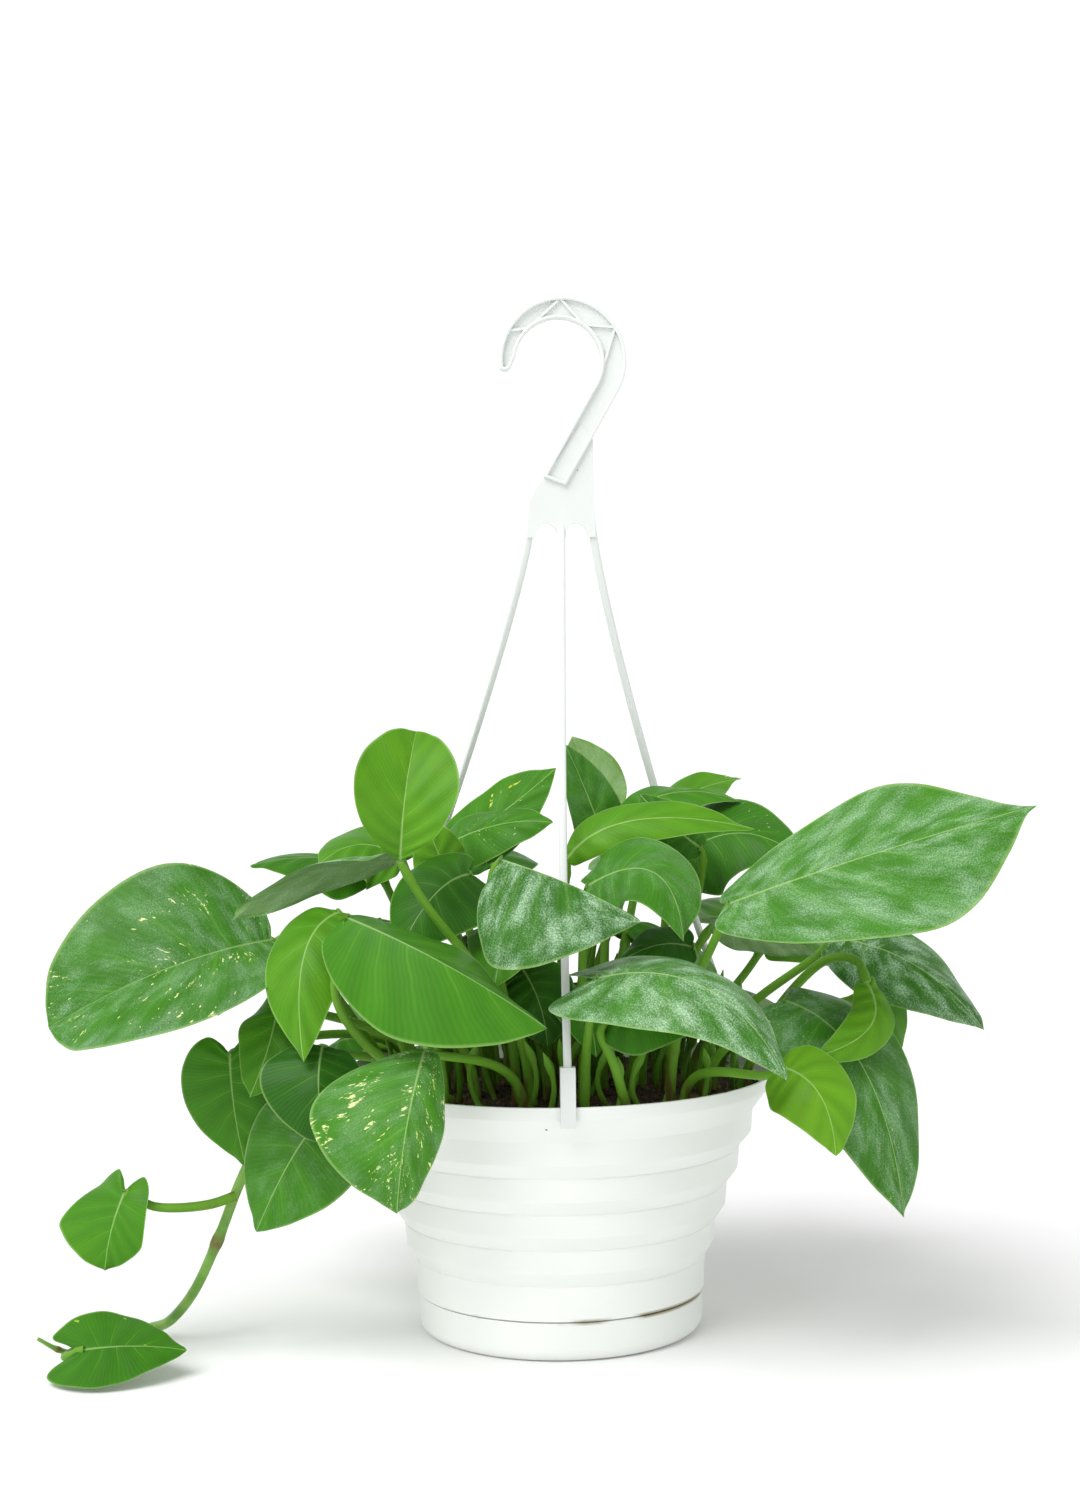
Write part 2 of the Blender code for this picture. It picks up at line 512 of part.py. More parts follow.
def inset(outline, distance):
    """The outline moved inwards by a distance, each corner mitred."""
    moved = []
    count = len(outline)
    for i, (x, z) in enumerate(outline):
        ax, az = outline[i - 1]
        bx, bz = outline[(i + 1) % count]
        first, second = unit((x - ax, z - az)), unit((bx - x, bz - z))
        normal = unit((-(first[1] + second[1]), first[0] + second[0]))
        mitre = max(normal[0] * -first[1] + normal[1] * first[0], 0.5)
        moved.append((x + normal[0] * distance / mitre, z + normal[1] * distance / mitre))
    return moved


def make_flange(outline, finish):
    """The raised edge round the hook: the outline's border, as deep as the hook."""
    inner = inset(outline, FLANGE_WIDTH)
    half = HOOK_DEPTH / 2
    loops = []
    for i, (edge, inside) in enumerate(zip(outline, inner)):
        loops.append([(edge[0], -half, edge[1]), (inside[0], -half, inside[1]),
                      (inside[0], half, inside[1]), (edge[0], half, edge[1])])
    verts = [p for loop in loops for p in loop]
    faces = []
    count = len(loops)
    for i in range(count):
        j = (i + 1) % count
        for k in range(4):
            m = (k + 1) % 4
            faces.append((4 * i + k, 4 * j + k, 4 * j + m, 4 * i + m))
    return add_object("flange", verts, faces, finish)


def bar(start, end, finish):
    """A straight stiffening rib between two points of the hook's web."""
    ahead = unit((end[0] - start[0], end[1] - start[1]))
    half = RIB_WIDTH / 2
    side = (-ahead[1] * half, ahead[0] * half)
    outline = [(start[0] + side[0], start[1] + side[1]), (start[0] - side[0], start[1] - side[1]),
               (end[0] - side[0], end[1] - side[1]), (end[0] + side[0], end[1] + side[1])]
    return extruded("rib", outline, RIB_DEPTH, finish)


def make_ribs(finish):
    outer, eye = hook_centres()
    reach_out, reach_in = HOOK_OUTER_RADIUS - FLANGE_WIDTH / 2, EYE_RADIUS + FLANGE_WIDTH / 2
    nodes = []
    for side, angle in RIB_NODES:
        centre, radius = (outer, reach_out) if side == "back" else (eye, reach_in)
        nodes.append(arc(centre, radius, angle, angle, 2)[0])
    return [bar(a, b, finish) for a, b in zip(nodes, nodes[1:])]


def plate_outline():
    """The flat plate under the hook; its lower edge has an arch between each two strands."""
    left, right = PLATE_LEFT, PLATE_RIGHT
    bottom = HOOK_TOP - PLATE_DROP
    foot = bottom - ARCH_HEIGHT
    leg = LEG_WIDTH
    middle = (left + right) / 2
    points = [(left, foot), (left + leg, foot)]
    for start, end in ((left + leg, middle - leg / 2), (middle + leg / 2, right - leg)):
        for i in range(1, 6):
            turn = math.pi * i / 6
            points.append(((start + end) / 2 - (end - start) / 2 * math.cos(turn),
                           foot + ARCH_HEIGHT * math.sin(turn)))
        points.append((end, foot))
        if end < right - leg:
            points.append((middle + leg / 2, foot))
    points.append((right, foot))
    points += [(right - inset, bottom + rise) for inset, rise in PLATE_RIGHT_EDGE]
    points += [(PLATE_NECK_RIGHT, bottom + PLATE_HEIGHT), (PLATE_NECK_LEFT, bottom + PLATE_SHOULDER)]
    points += [(left + inset, bottom + rise) for inset, rise in PLATE_LEFT_EDGE]
    return points


def strand_ends():
    """For each strand: its azimuth and where it leaves the plate."""
    leg = LEG_WIDTH / 2
    middle = (PLATE_LEFT + PLATE_RIGHT) / 2
    return [(-90.0, middle), (150.0, PLATE_LEFT + leg), (30.0, PLATE_RIGHT - leg)]


def clip_radius():
    """Middle of the clip's top, where the strand meets it."""
    return RIM_RADIUS - WALL / 2


def make_strand(azimuth, start_x, finish):
    turn = math.radians(azimuth)
    out = np.array([math.cos(turn), math.sin(turn), 0])
    across = np.array([-out[1], out[0], 0])
    if across[0] < 0:
        across = -across
    top = np.array([start_x, 0, HOOK_TOP - PLATE_DROP + STRAND_SUNK])
    end = out * clip_radius() + np.array([0, 0, POT_TOP + CLIP_RISE - 3])
    drop = top[2] - end[2]
    control = [top, top + out * 2.5 - np.array([0, 0, drop * 0.12]),
               out * clip_radius() * STRAND_BELLY + np.array([0, 0, end[2] + drop * 0.44]), end]
    loops = []
    for i in range(STRAND_ROWS + 1):
        t = i / STRAND_ROWS
        centre = bezier(control, t)
        along = unit(bezier(control, min(t + 0.01, 1)) - bezier(control, max(t - 0.01, 0)))
        side = np.array([1.0, 0, 0]) * (1 - t) + across * t
        side = unit(side - along * np.dot(side, along))
        depth = np.cross(along, side)
        loops.append([centre - side * x * STRAND_WIDTH / 2 + depth * y * STRAND_DEPTH / 2
                      for x, y in STRAND_SECTION])
    return lofted("strand", loops, finish)


def make_clip(azimuth, finish):
    """A clip that straddles the lip: a block above the rim with a prong on each side."""
    slack = GAP + RIM_RADIUS * (1 - math.cos(math.pi / TURNED_SIDES))
    over = POT_TOP + GAP
    low = POT_TOP - LIP_HEIGHT
    top = POT_TOP + CLIP_RISE
    outside = RIM_RADIUS + GAP + PRONG
    grip = RIM_RADIUS - WALL - slack
    inside = grip - LIP_TAPER - PRONG
    outline = [(outside, low), (outside, top - 3), (outside - 1.2, top), (inside + 2.2, top),
               (inside + 1.0, top - 3), (inside, over), (inside, low + 1), (inside + 1, low),
               (grip - LIP_TAPER, low), (grip, over), (outside - PRONG, over),
               (outside - PRONG, low - GAP), (outside - PRONG - BARB, low - GAP - BARB),
               (outside - 1.2, low - CLIP_TAIL)]
    clip = extruded("clip", outline, CLIP_WIDTH, finish)
    clip.rotation_euler = (0, 0, math.radians(azimuth))
    return clip


def make_hanger(finish):
    outline = hook_outline()
    pieces = [make_flange(outline, finish)] + make_ribs(finish)
    pieces.append(extruded("plate", plate_outline(), PLATE_DEPTH, finish))
    for azimuth, start_x in strand_ends():
        pieces.append(make_strand(azimuth, start_x, finish))
        pieces.append(make_clip(azimuth, finish))
    hanger = extruded("hanger", inset(outline, FLANGE_WIDTH / 2), WEB_DEPTH, finish)
    boolean(hanger, pieces, "UNION")
    hanger.rotation_euler = (0, 0, math.radians(HANGER_AZIMUTH + 90))
    return hanger


# ---- leaves ---------------------------------------------------------------------------
def seated(point):
    """Move a point of the plant's plan to suit the pot's own rim.

    What grows in the pot or above it keeps its height over the rim. What hangs outside keeps
    its share of the height above the ground.
    """
    x, y, z = point
    spread = RIM_RADIUS / PLAN_RIM_RADIUS
    if z < PLAN_POT_TOP and math.hypot(x, y) > PLAN_RIM_RADIUS:
        z = z * POT_TOP / PLAN_POT_TOP
    else:
        z = z + POT_TOP - PLAN_POT_TOP
    return np.array([x * spread, y * spread, z])


def blade_edge(t, shape):
    """Half of a flat blade's outline: t runs from the stalk, round the lobe, to the tip.

    The result is the place along the midrib in blade lengths and the half width from 0 to 1.
    """
    lobe, widest, full = shape
    ahead = 1 - widest
    points = [(0.0, 0.0), (0.10 * widest - 0.8 * lobe, 0.17), (0.25 * widest - 1.5 * lobe, 0.44),
              (0.55 * widest - lobe, 0.80), (widest, 1.0),
              (widest + (0.38 + 0.08 * full) * ahead, 0.84 + 0.08 * full),
              (widest + (0.72 + 0.10 * full) * ahead, 0.46 + 0.20 * full),
              (widest + (0.90 + 0.07 * full) * ahead, 0.16 + 0.20 * full), (1.0, 0.0)]
    return through(points, t)


def midrib_frames(spec, count=24):
    """Places, directions and upward normals along the midrib, with the length run so far."""
    control = [seated(spec["base"]), seated(spec["bend"]), seated(spec["tip"])]
    places = [bezier(control, i / count) for i in range(count + 1)]
    frames, run = [], 0.0
    for i, place in enumerate(places):
        if i:
            run += np.linalg.norm(place - places[i - 1])
        along = unit(places[min(i + 1, count)] - places[max(i - 1, 0)])
        share = i / count
        face = np.array(spec["face"]) * (1 - share) + np.array(spec["tip_face"]) * share
        normal = unit(face - along * np.dot(face, along))
        frames.append((run, place, along, normal))
    return frames


def frame_at(frames, run):
    """The midrib's frame at a length along it; behind the base it goes straight back."""
    if run <= 0:
        _, place, along, normal = frames[0]
        return place + along * run, along, normal
    for (r0, p0, a0, n0), (r1, p1, a1, n1) in zip(frames, frames[1:]):
        if run <= r1:
            u = (run - r0) / (r1 - r0)
            return p0 + (p1 - p0) * u, unit(a0 + (a1 - a0) * u), unit(n0 + (n1 - n0) * u)
    return frames[-1][1:]


def blade_point(frames, x, y, fold, cup, half_width):
    """Bend a flat blade's point (x along the midrib, y to its left) into place."""
    place, along, normal = frame_at(frames, x)
    left = np.cross(normal, along)
    reach = abs(y)
    curl = cup / half_width
    if abs(curl) < 1e-6:
        out, rise = reach * math.cos(fold), reach * math.sin(fold)
    else:
        out = (math.sin(fold + curl * reach) - math.sin(fold)) / curl
        rise = (math.cos(fold) - math.cos(fold + curl * reach)) / curl
    return place + left * math.copysign(out, y) + normal * rise, normal


def blade_loops(spec, frames):
    """Loops across the blade, each from its left edge over the top to the right and back."""
    length = frames[-1][0]
    half_width = spec["width"] / 2
    fold, cup = math.radians(spec["fold"]), math.radians(spec["cup"])
    columns = BLADE_HALF_COLUMNS
    loops = []
    for i in range(1, BLADE_ROWS):
        t = i / BLADE_ROWS
        edge_x, edge_y = blade_edge(t, spec["shape"])
        rib_x = t ** RIB_SWEEP
        loop = []
        for k in range(4 * columns):
            across = 1 - k / columns if k <= 2 * columns else k / columns - 3
            x = (rib_x + (edge_x - rib_x) * abs(across)) * length
            y = edge_y * across * half_width * (1 + math.copysign(spec["skew"], across))
            point, normal = blade_point(frames, x, y, fold, cup, half_width)
            lift = BLADE_THICKNESS / 2 * (1 - across * across)
            loop.append(point + normal * (lift if k <= 2 * columns else -lift))
        loops.append(loop)
    return loops


def stalk_path(spec, frames):
    """Stalk centres from the root to the blade."""
    _, base, along, normal = frames[0]
    if spec["route"]:
        points = [seated(p) for p in spec["route"]] + [base]
        return [through(points, i / STALK_ROWS) for i in range(STALK_ROWS + 1)]
    root = seated((*spec["root"], PLAN_POT_TOP))
    root[2] = soil_top() + SOIL_CROWN + GAP
    span = np.linalg.norm(base - root)
    leave = unit(-along * 0.6 - normal * 0.5 + np.array([0, 0, -0.5]))
    control = [root, root + np.array([0, 0, 0.45 * span]), base + leave * 0.3 * span, base]
    return [bezier(control, i / STALK_ROWS) for i in range(STALK_ROWS + 1)]


def make_leaf(name, spec, finish):
    frames = midrib_frames(spec)
    path = stalk_path(spec, frames)
    _, base, along, normal = frames[0]
    count = 4 * BLADE_HALF_COLUMNS
    left = np.cross(normal, along)
    backwards = list(reversed(path))
    radii = [STALK_RADIUS + (STALK_ROOT_RADIUS - STALK_RADIUS) * i / STALK_ROWS
             for i in range(STALK_ROWS + 1)]
    loops = [ring(base, left, normal, STALK_RADIUS, count)]
    side = left
    for i in range(1, len(backwards)):
        ahead = unit(backwards[i - 1] - backwards[min(i + 1, len(backwards) - 1)])
        side = unit(side - ahead * np.dot(side, ahead))
        loops.append(ring(backwards[i], side, np.cross(ahead, side), radii[i], count))
    loops.reverse()
    loops += blade_loops(spec, frames)
    return lofted(name, loops, finish, tip=frames[-1][1])


def make_vine(finish):
    points = [seated(p) for p in VINE]
    steps = 3 * (len(points) - 1)
    path = [through(points, i / steps) for i in range(steps + 1)]
    taper = 3 * VINE_TIP_LENGTH
    radii = []
    for i in range(steps + 1):
        share = min((steps - i) / taper, 1.0)
        radii.append(VINE_TIP_RADIUS + (VINE_RADIUS - VINE_TIP_RADIUS) * share)
    loops = tube_loops(path, radii, 8, np.array([0, 1.0, 0]))
    return lofted("trailing_vine", loops, finish)


def main():
    clear_scene()
    white = material("white_plastic", (0.86, 0.88, 0.86), 0.42)
    green = material("leaf_green", (0.10, 0.30, 0.06), 0.40)
    stem = material("vine_green", (0.20, 0.36, 0.10), 0.50)
    earth = material("potting_soil", (0.07, 0.045, 0.03), 0.95)
    make_pot(white)
    make_saucer(white)
    make_hanger(white)
    make_soil(earth)
    make_vine(stem)
    for name, spec in {**LEAVES, **VINE_LEAVES}.items():
        make_leaf(name, spec, green)


main()
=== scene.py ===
"""Looks for the potted pothos in its hanging pot.

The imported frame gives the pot, saucer, hanger, soil, vine and every leaf their places; this script
dresses them: fine blades with ribs, flecks and silver dust, moulded plastic, damp crumbly soil.
The plant's plan below is in millimetres; meshes are in metres.
"""
import math

import bpy
import numpy as np
from mathutils import Matrix, Vector


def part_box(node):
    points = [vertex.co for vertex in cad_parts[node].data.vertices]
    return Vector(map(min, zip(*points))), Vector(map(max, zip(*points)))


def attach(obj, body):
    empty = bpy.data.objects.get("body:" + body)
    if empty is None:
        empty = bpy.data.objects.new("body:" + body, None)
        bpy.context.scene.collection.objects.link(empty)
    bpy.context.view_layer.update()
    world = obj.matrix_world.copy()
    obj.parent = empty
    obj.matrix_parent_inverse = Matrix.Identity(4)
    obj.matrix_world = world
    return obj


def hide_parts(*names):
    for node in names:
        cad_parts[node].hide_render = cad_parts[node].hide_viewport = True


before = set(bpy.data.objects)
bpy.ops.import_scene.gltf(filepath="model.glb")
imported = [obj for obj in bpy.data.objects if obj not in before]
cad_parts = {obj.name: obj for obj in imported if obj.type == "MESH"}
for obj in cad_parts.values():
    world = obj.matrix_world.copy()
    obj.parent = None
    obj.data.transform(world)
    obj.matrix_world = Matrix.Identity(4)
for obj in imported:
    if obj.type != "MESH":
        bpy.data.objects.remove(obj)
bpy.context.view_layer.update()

MM = 0.001

# ---- the frame's own sizes, in millimetres ----
RIM_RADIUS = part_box("pot")[1].x / MM
POT_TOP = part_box("pot")[1].z / MM
SAUCER_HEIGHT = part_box("drip_saucer")[1].z / MM
SAUCER_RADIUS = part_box("drip_saucer")[1].x / MM
HOOK_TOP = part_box("hanger")[1].z / MM
SOIL_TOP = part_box("soil")[1].z / MM
SOIL_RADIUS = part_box("soil")[1].x / MM
SOIL_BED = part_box("soil")[0].z / MM

# ---- pot and saucer ----
GAP = 0.3
WALL = 1.5
LIP_HEIGHT = 6.2
LIP_TAPER = 1.5
RING_COUNT = 5
RING_FLARE = 6.8
BAND_TAPER = 0.9
WAIST_RADIUS = SAUCER_RADIUS + 0.8
TOP_CREASE_RADIUS = RIM_RADIUS - 10.0
CREASE_CURVE = 0.23
FIRST_BAND_TAPER = 0.6
FIRST_BAND_HEIGHT = 16.6
TOP_FLARE = 11.1
SEAM = 0.7
FLOOR_HEIGHT = 6.0
SADDLE_RADIUS = 42.0
SADDLE_WIDTH = 3.0
DRAIN_COUNT = 6
DRAIN_RADIUS = 4.0
DRAIN_CIRCLE = 26.0
FOOT_FILLET = 6.0
TURNED_SIDES = 180

# ---- hanger ----
HOOK_OUTER_RADIUS = 29.6
HOOK_CENTRE_X = 6.2
EYE_RADIUS = 20.0
EYE_OFFSET = (-2.2, -0.5)
HOOK_DEPTH = 7.0
WEB_DEPTH = 2.4
FLANGE_WIDTH = 1.6
PLATE_DEPTH = 3.2
PLATE_DROP = 105.1
PLATE_LEFT = -11.4
PLATE_RIGHT = 20.6
PLATE_NECK_RIGHT = 14.0     # where the plate's narrow top runs into the hook
PLATE_NECK_LEFT = -1.0
PLATE_HEIGHT = 46.0         # from the arches' crowns to the top of the plate's right side
PLATE_SHOULDER = 24.0       # the same on its left side, where the sloping shoulder ends
PLATE_RIGHT_EDGE = ((0.6, 20.0), (0.8, 39.0))   # how far in and how high each bend is, going up
PLATE_LEFT_EDGE = ((5.3, 17.0), (1.5, 11.0), (0.4, 4.0))    # the same, going down
STRAND_WIDTH = 3.6
STRAND_DEPTH = 2.8
STRAND_SUNK = 2.0
LEG_WIDTH = 3.8
CLIP_WIDTH = 6.6
CLIP_RISE = 17.5
CLIP_TAIL = 2.6
BARB = 0.9
PRONG = 2.0
CLIP_SLACK = 0.6
HANGER_TURN = 2.0
SHANK_LEAN = 30.0
SHANK_LENGTH = 50.0
RIB_WIDTH = 1.2
RIB_DEPTH = 5.4
RIB_NODES = [("back", 151), ("eye", 131), ("back", 92), ("eye", 55), ("back", 32), ("eye", -12)]
ARCH_HEIGHT = 6.5
STRAND_BELLY = 0.55
STRAND_ROWS = 40

# ---- stage ----
CAMERA_PLACE = (-0.0067, -1.167, 0.3197)    # metres
CAMERA_TILT = 2.47          # degrees below level
CAMERA_ROLL = -0.72
CAMERA_LENS = 59.26
KEY_SOURCE = (-0.55, -0.62, 1.05)
KEY_STRENGTH = 2.5
KEY_SOFTNESS = 0.75
HORIZON_GLOW, ZENITH_GLOW = 1.05, 0.50      # brightness of the surroundings at eye level and overhead
FLOOR_REACH = 6000

# ---- plant ----
PLAN_RIM_RADIUS = 101.5     # the rim that the leaf plan was drawn for
PLAN_POT_TOP = 121.7
STALK_RADIUS = 1.8
STALK_ROOT_RADIUS = 2.3
BLADE_THICKNESS = 0.55
HALF_COLUMNS = 11           # columns of faces on each side of a midrib
BLADE_ROWS = 54
STALK_ROWS = 26
RIB_SWEEP = 2.3
INNER_LEAVES = 15
SHOOTS = 80
VINE_RADIUS = 2.7
VINE_TIP_RADIUS = 0.8
VINE_JOINTS = (4.0, 6.05, 10.2, 13.0)   # places of the leaf scars, counted in points of VINE
CRUMB_DENSITY = 45000.0     # crumbs on a square metre
CRUMB_SIZE = 0.0016         # metres

HEART = (0.15, 0.24, 0.0)
OVATE = (0.08, 0.30, 0.1)
NARROW = (0.04, 0.34, 0.1)
SPOON = (0.0, 0.50, 0.6)
TRAIL_HEART = (0.26, 0.14, 0.0)


def leaf(base, bend, tip, face, width, shape=OVATE, root=(0, 0), fold=-8, cup=-12, tip_face=None,
         route=None, skew=0.0):
    """One leaf of the plan: its midrib runs from base to tip and is pulled towards bend."""
    return dict(base=base, bend=bend, tip=tip, face=face, tip_face=tip_face or face, width=width,
                shape=shape, root=root, fold=fold, cup=cup, route=route, skew=skew)


LEAVES = {
    "left_large": leaf((-130, -40, 189), (-172, -70, 186), (-228, -60, 153), (-0.1, -0.7, 0.7), 100,
        (0.06, 0.34, 0.5), fold=18, cup=0, tip_face=(-0.15, -0.75, 0.6),
        route=[(-72, -12, 116), (-88, -22, 140), (-108, -32, 170)]),
    "left_back": leaf((-85, 22, 216), (-118, 30, 225), (-145, 12, 218), (0, -0.3, 1), 58, root=(-57, 15),
        cup=-20),
    "left_curled": leaf((-72, -28, 223), (-106, -45, 229), (-143, -78, 202), (0.1, 0.75, 0.6), 26, NARROW,
        root=(-52, -16), fold=-10, cup=-20, tip_face=(0.25, 0.75, 0.6)),
    "crown_round": leaf((-68, -90, 228), (-66, -98, 260), (-61, -72, 284), (0.08, -0.95, 0.3), 47, SPOON,
        fold=12, cup=10, tip_face=(0.08, -0.8, 0.6),
        route=[(-12, -60, 116), (-18, -70, 150), (-36, -79, 180), (-56, -86, 207)]),
    "left_lime": leaf((-97, -66, 204), (-118, -94, 199), (-110, -102, 143), (-0.35, -0.85, 0.4), 40,
        root=(-37, -59), fold=-12, tip_face=(-0.3, -0.9, 0.3)),
    "front_left_broad": leaf((-90, -106, 206), (-46, -134, 191), (-5, -126, 160), (0.05, -0.6, 0.8), 76,
        (0.1, 0.38, 0.2), fold=-36, cup=-8, tip_face=(0.15, -0.62, 0.76),
        route=[(-48, -58, 117), (-66, -72, 131), (-86, -88, 150), (-96, -104, 174)]),
    "left_heart": leaf((-149, -46, 138), (-148, -53, 114), (-142, -50, 87), (-0.3, -0.85, 0.4), 54, HEART,
        root=(-66, -6), fold=-4, cup=-10),
    "left_fresh": leaf((-125, -62, 165), (-125, -78, 149), (-137, -74, 123), (-0.2, -0.9, 0.35), 36,
        root=(-56, -42), fold=-10),
    "left_dark_fold": leaf((-103, -90, 148), (-106, -110, 132), (-100, -102, 106), (0.15, -0.9, 0.35), 52,
        root=(-56, -57), fold=-20, cup=-8),
    "left_dark_low": leaf((-104, -70, 115), (-119, -80, 101), (-135, -74, 63), (-0.2, -0.9, 0.4), 58,
        route=[(-70, -42, 117.5), (-82, -48, 127.5), (-94, -56, 129)]),
    "front_left_speckled": leaf((-57, -118, 151), (-66, -150, 122), (-69, -134, 84), (-0.05, -0.88, 0.45), 64,
        (0.05, 0.45, 0.3), root=(-16, -74), fold=-18, tip_face=(0.1, -0.95, 0.2), skew=-0.48),
    "mid_yellow_back": leaf((-50, 0, 227), (-26, 2, 240), (1, -4, 264), (0.15, -0.75, 0.65), 36,
        root=(-31, 13), cup=-10),
    "mid_yellow_front": leaf((-51, -12, 229), (-25, -30, 244), (-1, -32, 240), (0.1, -0.7, 0.7), 36,
        root=(-22, -4), cup=-16),
    "left_back_lime": leaf((-72, 8, 220), (-92, 10, 237), (-112, 0, 219), (-0.1, -0.5, 0.85), 52,
        root=(-45, 2), fold=-6, cup=-20),
    "crown_patch": leaf((-50, -36, 215), (-53, -42, 229), (-60, -34, 241), (0.1, -0.85, 0.5), 26,
        root=(-33, -19), fold=0, cup=-10),
    "crown_shade": leaf((-39, -52, 219), (-56, -68, 218), (-71, -70, 184), (-0.2, -0.85, 0.5), 50, HEART,
        root=(-14, -26), cup=-20),
    "front_silver": leaf((-24, -105, 230), (7, -124, 222), (35, -121, 204), (0, -0.5, 0.85), 64,
        (0.08, 0.18, 0.1), root=(-19, -54), fold=-50, cup=-6, skew=-0.4),
    "mid_arching": leaf((14, -70, 215), (51, -88, 239), (54, -102, 193), (0.1, -0.65, 0.75), 54,
        (0.1, 0.26, 0), root=(11, -51), cup=-22, tip_face=(0.5, -0.7, 0.4)),
    "mid_long_lime": leaf((5, -46, 225), (25, -50, 253), (90, -46, 237), (-0.1, -0.7, 0.7), 24,
        (0.05, 0.3, 0.2), root=(1, -17), fold=-6, cup=-16, tip_face=(0, -0.7, 0.7)),
    "crown_spear": leaf((23, -8, 229), (16, -12, 251), (5, -8, 275), (0.1, -0.95, 0.3), 26, root=(21, -14),
        fold=10, cup=10),
    "crown_pale": leaf((25, 34, 238), (18, 44, 258), (9, 38, 277), (0.1, 0.9, 0.25), 32, NARROW,
        root=(12, 16), fold=14, cup=20),
    "right_back_spear": leaf((52, 50, 242), (72, 54, 252), (92, 50, 255), (0.1, -0.5, 0.85), 30,
        root=(29, 11), cup=-10),
    "right_back_flat": leaf((34, 6, 243), (61, 10, 258), (88, 8, 246), (0.05, -0.4, 0.9), 30, root=(8, 0),
        cup=-18),
    "right_yellow_tip": leaf((55, -2, 219), (85, -10, 245), (112, -24, 222), (0.1, -0.65, 0.75), 58,
        root=(49, 7), cup=-20, tip_face=(0.4, -0.7, 0.5)),
    "right_dark_small": leaf((66, -30, 228), (53, -34, 237), (39, -24, 252), (-0.2, -0.85, 0.5), 24,
        root=(39, -8), fold=-10, cup=-14),
    "right_large": leaf((74, -98, 209), (129, -115, 231), (209, -88, 249), (-0.05, -0.45, 0.85), 78,
        (0.1, 0.5, -0.3), root=(50, -59), cup=10, tip_face=(0.05, -0.85, 0.5), skew=-0.14),
    "right_low_dark": leaf((126, -42, 187), (165, -56, 183), (190, -62, 147), (0.2, -0.7, 0.65), 48,
        root=(71, -22), fold=-14, cup=-18, tip_face=(0.4, -0.75, 0.5)),
    "front_right_silver": leaf((17, -116, 180), (67, -160, 197), (93, -150, 141), (0.05, -0.6, 0.8), 54,
        (0.2, 0.28, 0), root=(11, -81), fold=-10, cup=-26, tip_face=(0.45, -0.65, 0.5)),
    "front_small": leaf((24, -98, 162), (45, -116, 170), (68, -112, 160), (0, -0.85, 0.5), 40, HEART, fold=-6,
        cup=-20, route=[(30, -82, 115), (24, -92, 138), (18, -98, 154)]),
    "right_drooping": leaf((101, -66, 162), (140, -104, 154), (150, -88, 69), (0.3, -0.75, 0.55), 62,
        root=(66, -44), fold=-10, cup=-14, tip_face=(0.45, -0.8, 0.3)),
    "right_lime_low": leaf((95, -104, 139), (114, -130, 138), (116, -124, 104), (0.1, -0.85, 0.45), 40,
        root=(56, -60), cup=-14),
    "right_curled": leaf((136, -78, 171), (147, -98, 151), (109, -100, 142), (0.3, -0.85, 0.4), 22, cup=-20,
        tip_face=(0, -0.9, 0.4), route=[(84, -24, 116), (98, -34, 150), (118, -50, 176), (132, -66, 180)]),
    "right_sliver": leaf((141, -42, 162), (154, -46, 154), (151, -48, 131), (0.5, -0.8, 0.3), 26,
        root=(63, -5), fold=-10, cup=-14),
    "mid_shade": leaf((-16, -44, 175), (-6, -58, 162), (-5, -54, 141), (0.1, -0.9, 0.4), 42, root=(-5, -42),
        cup=-14),
    "right_grey_under": leaf((70, -48, 194), (91, -60, 193), (116, -56, 181), (0, 0.5, 0.85), 36,
        root=(50, -23), cup=-10),
    "mid_small_dark": leaf((60, -62, 186), (45, -70, 192), (28, -72, 181), (-0.1, -0.7, 0.7), 30,
        root=(33, -33), cup=-14),
    "back_left_large": leaf((-88, 70, 185), (-125, 105, 195), (-160, 130, 150), (-0.5, 0.5, 0.7), 70,
        root=(-62, 51), cup=-14),
    "back_left_low": leaf((-66, 88, 150), (-90, 128, 152), (-96, 138, 95), (-0.4, 0.8, 0.45), 60, HEART,
        root=(-38, 65), cup=-16),
    "back_mid_large": leaf((-14, 82, 192), (-20, 130, 208), (-30, 166, 160), (0, 0.6, 0.8), 74, HEART,
        root=(-2, 47), fold=-6, cup=-14),
    "back_mid_low": leaf((14, 90, 150), (18, 135, 145), (22, 138, 82), (0.1, 0.9, 0.4), 64, root=(10, 60),
        cup=-16),
    "back_right_large": leaf((66, 72, 190), (100, 110, 202), (134, 138, 160), (0.4, 0.5, 0.75), 72,
        root=(44, 49), cup=-14),
    "back_right_low": leaf((72, 82, 150), (105, 118, 148), (118, 122, 98), (0.6, 0.7, 0.4), 58, HEART,
        root=(47, 68), cup=-16),
    "back_upper": leaf((-30, 44, 214), (-36, 72, 232), (-44, 104, 216), (-0.1, 0.5, 0.85), 56, root=(-24, 33),
        cup=-16),
    "back_upper_right": leaf((34, 52, 212), (44, 82, 230), (58, 112, 210), (0.2, 0.5, 0.85), 54,
        root=(11, 35), cup=-16),
    "side_left_back": leaf((-98, 34, 172), (-135, 46, 182), (-168, 58, 140), (-0.5, 0.1, 0.85), 58,
        root=(-77, 10), cup=-16),
    "side_left_low": leaf((-98, 22, 134), (-124, 36, 130), (-130, 40, 84), (-0.8, 0.1, 0.5), 50, HEART,
        root=(-63, 32), cup=-16),
    "side_right_back": leaf((100, 30, 176), (136, 46, 184), (172, 60, 148), (0.5, 0.1, 0.85), 58,
        root=(68, 19), cup=-16),
    "side_right_low": leaf((106, 24, 138), (128, 36, 136), (134, 44, 106), (0.8, 0.1, 0.5), 40, root=(79, 33),
        cup=-16),
}

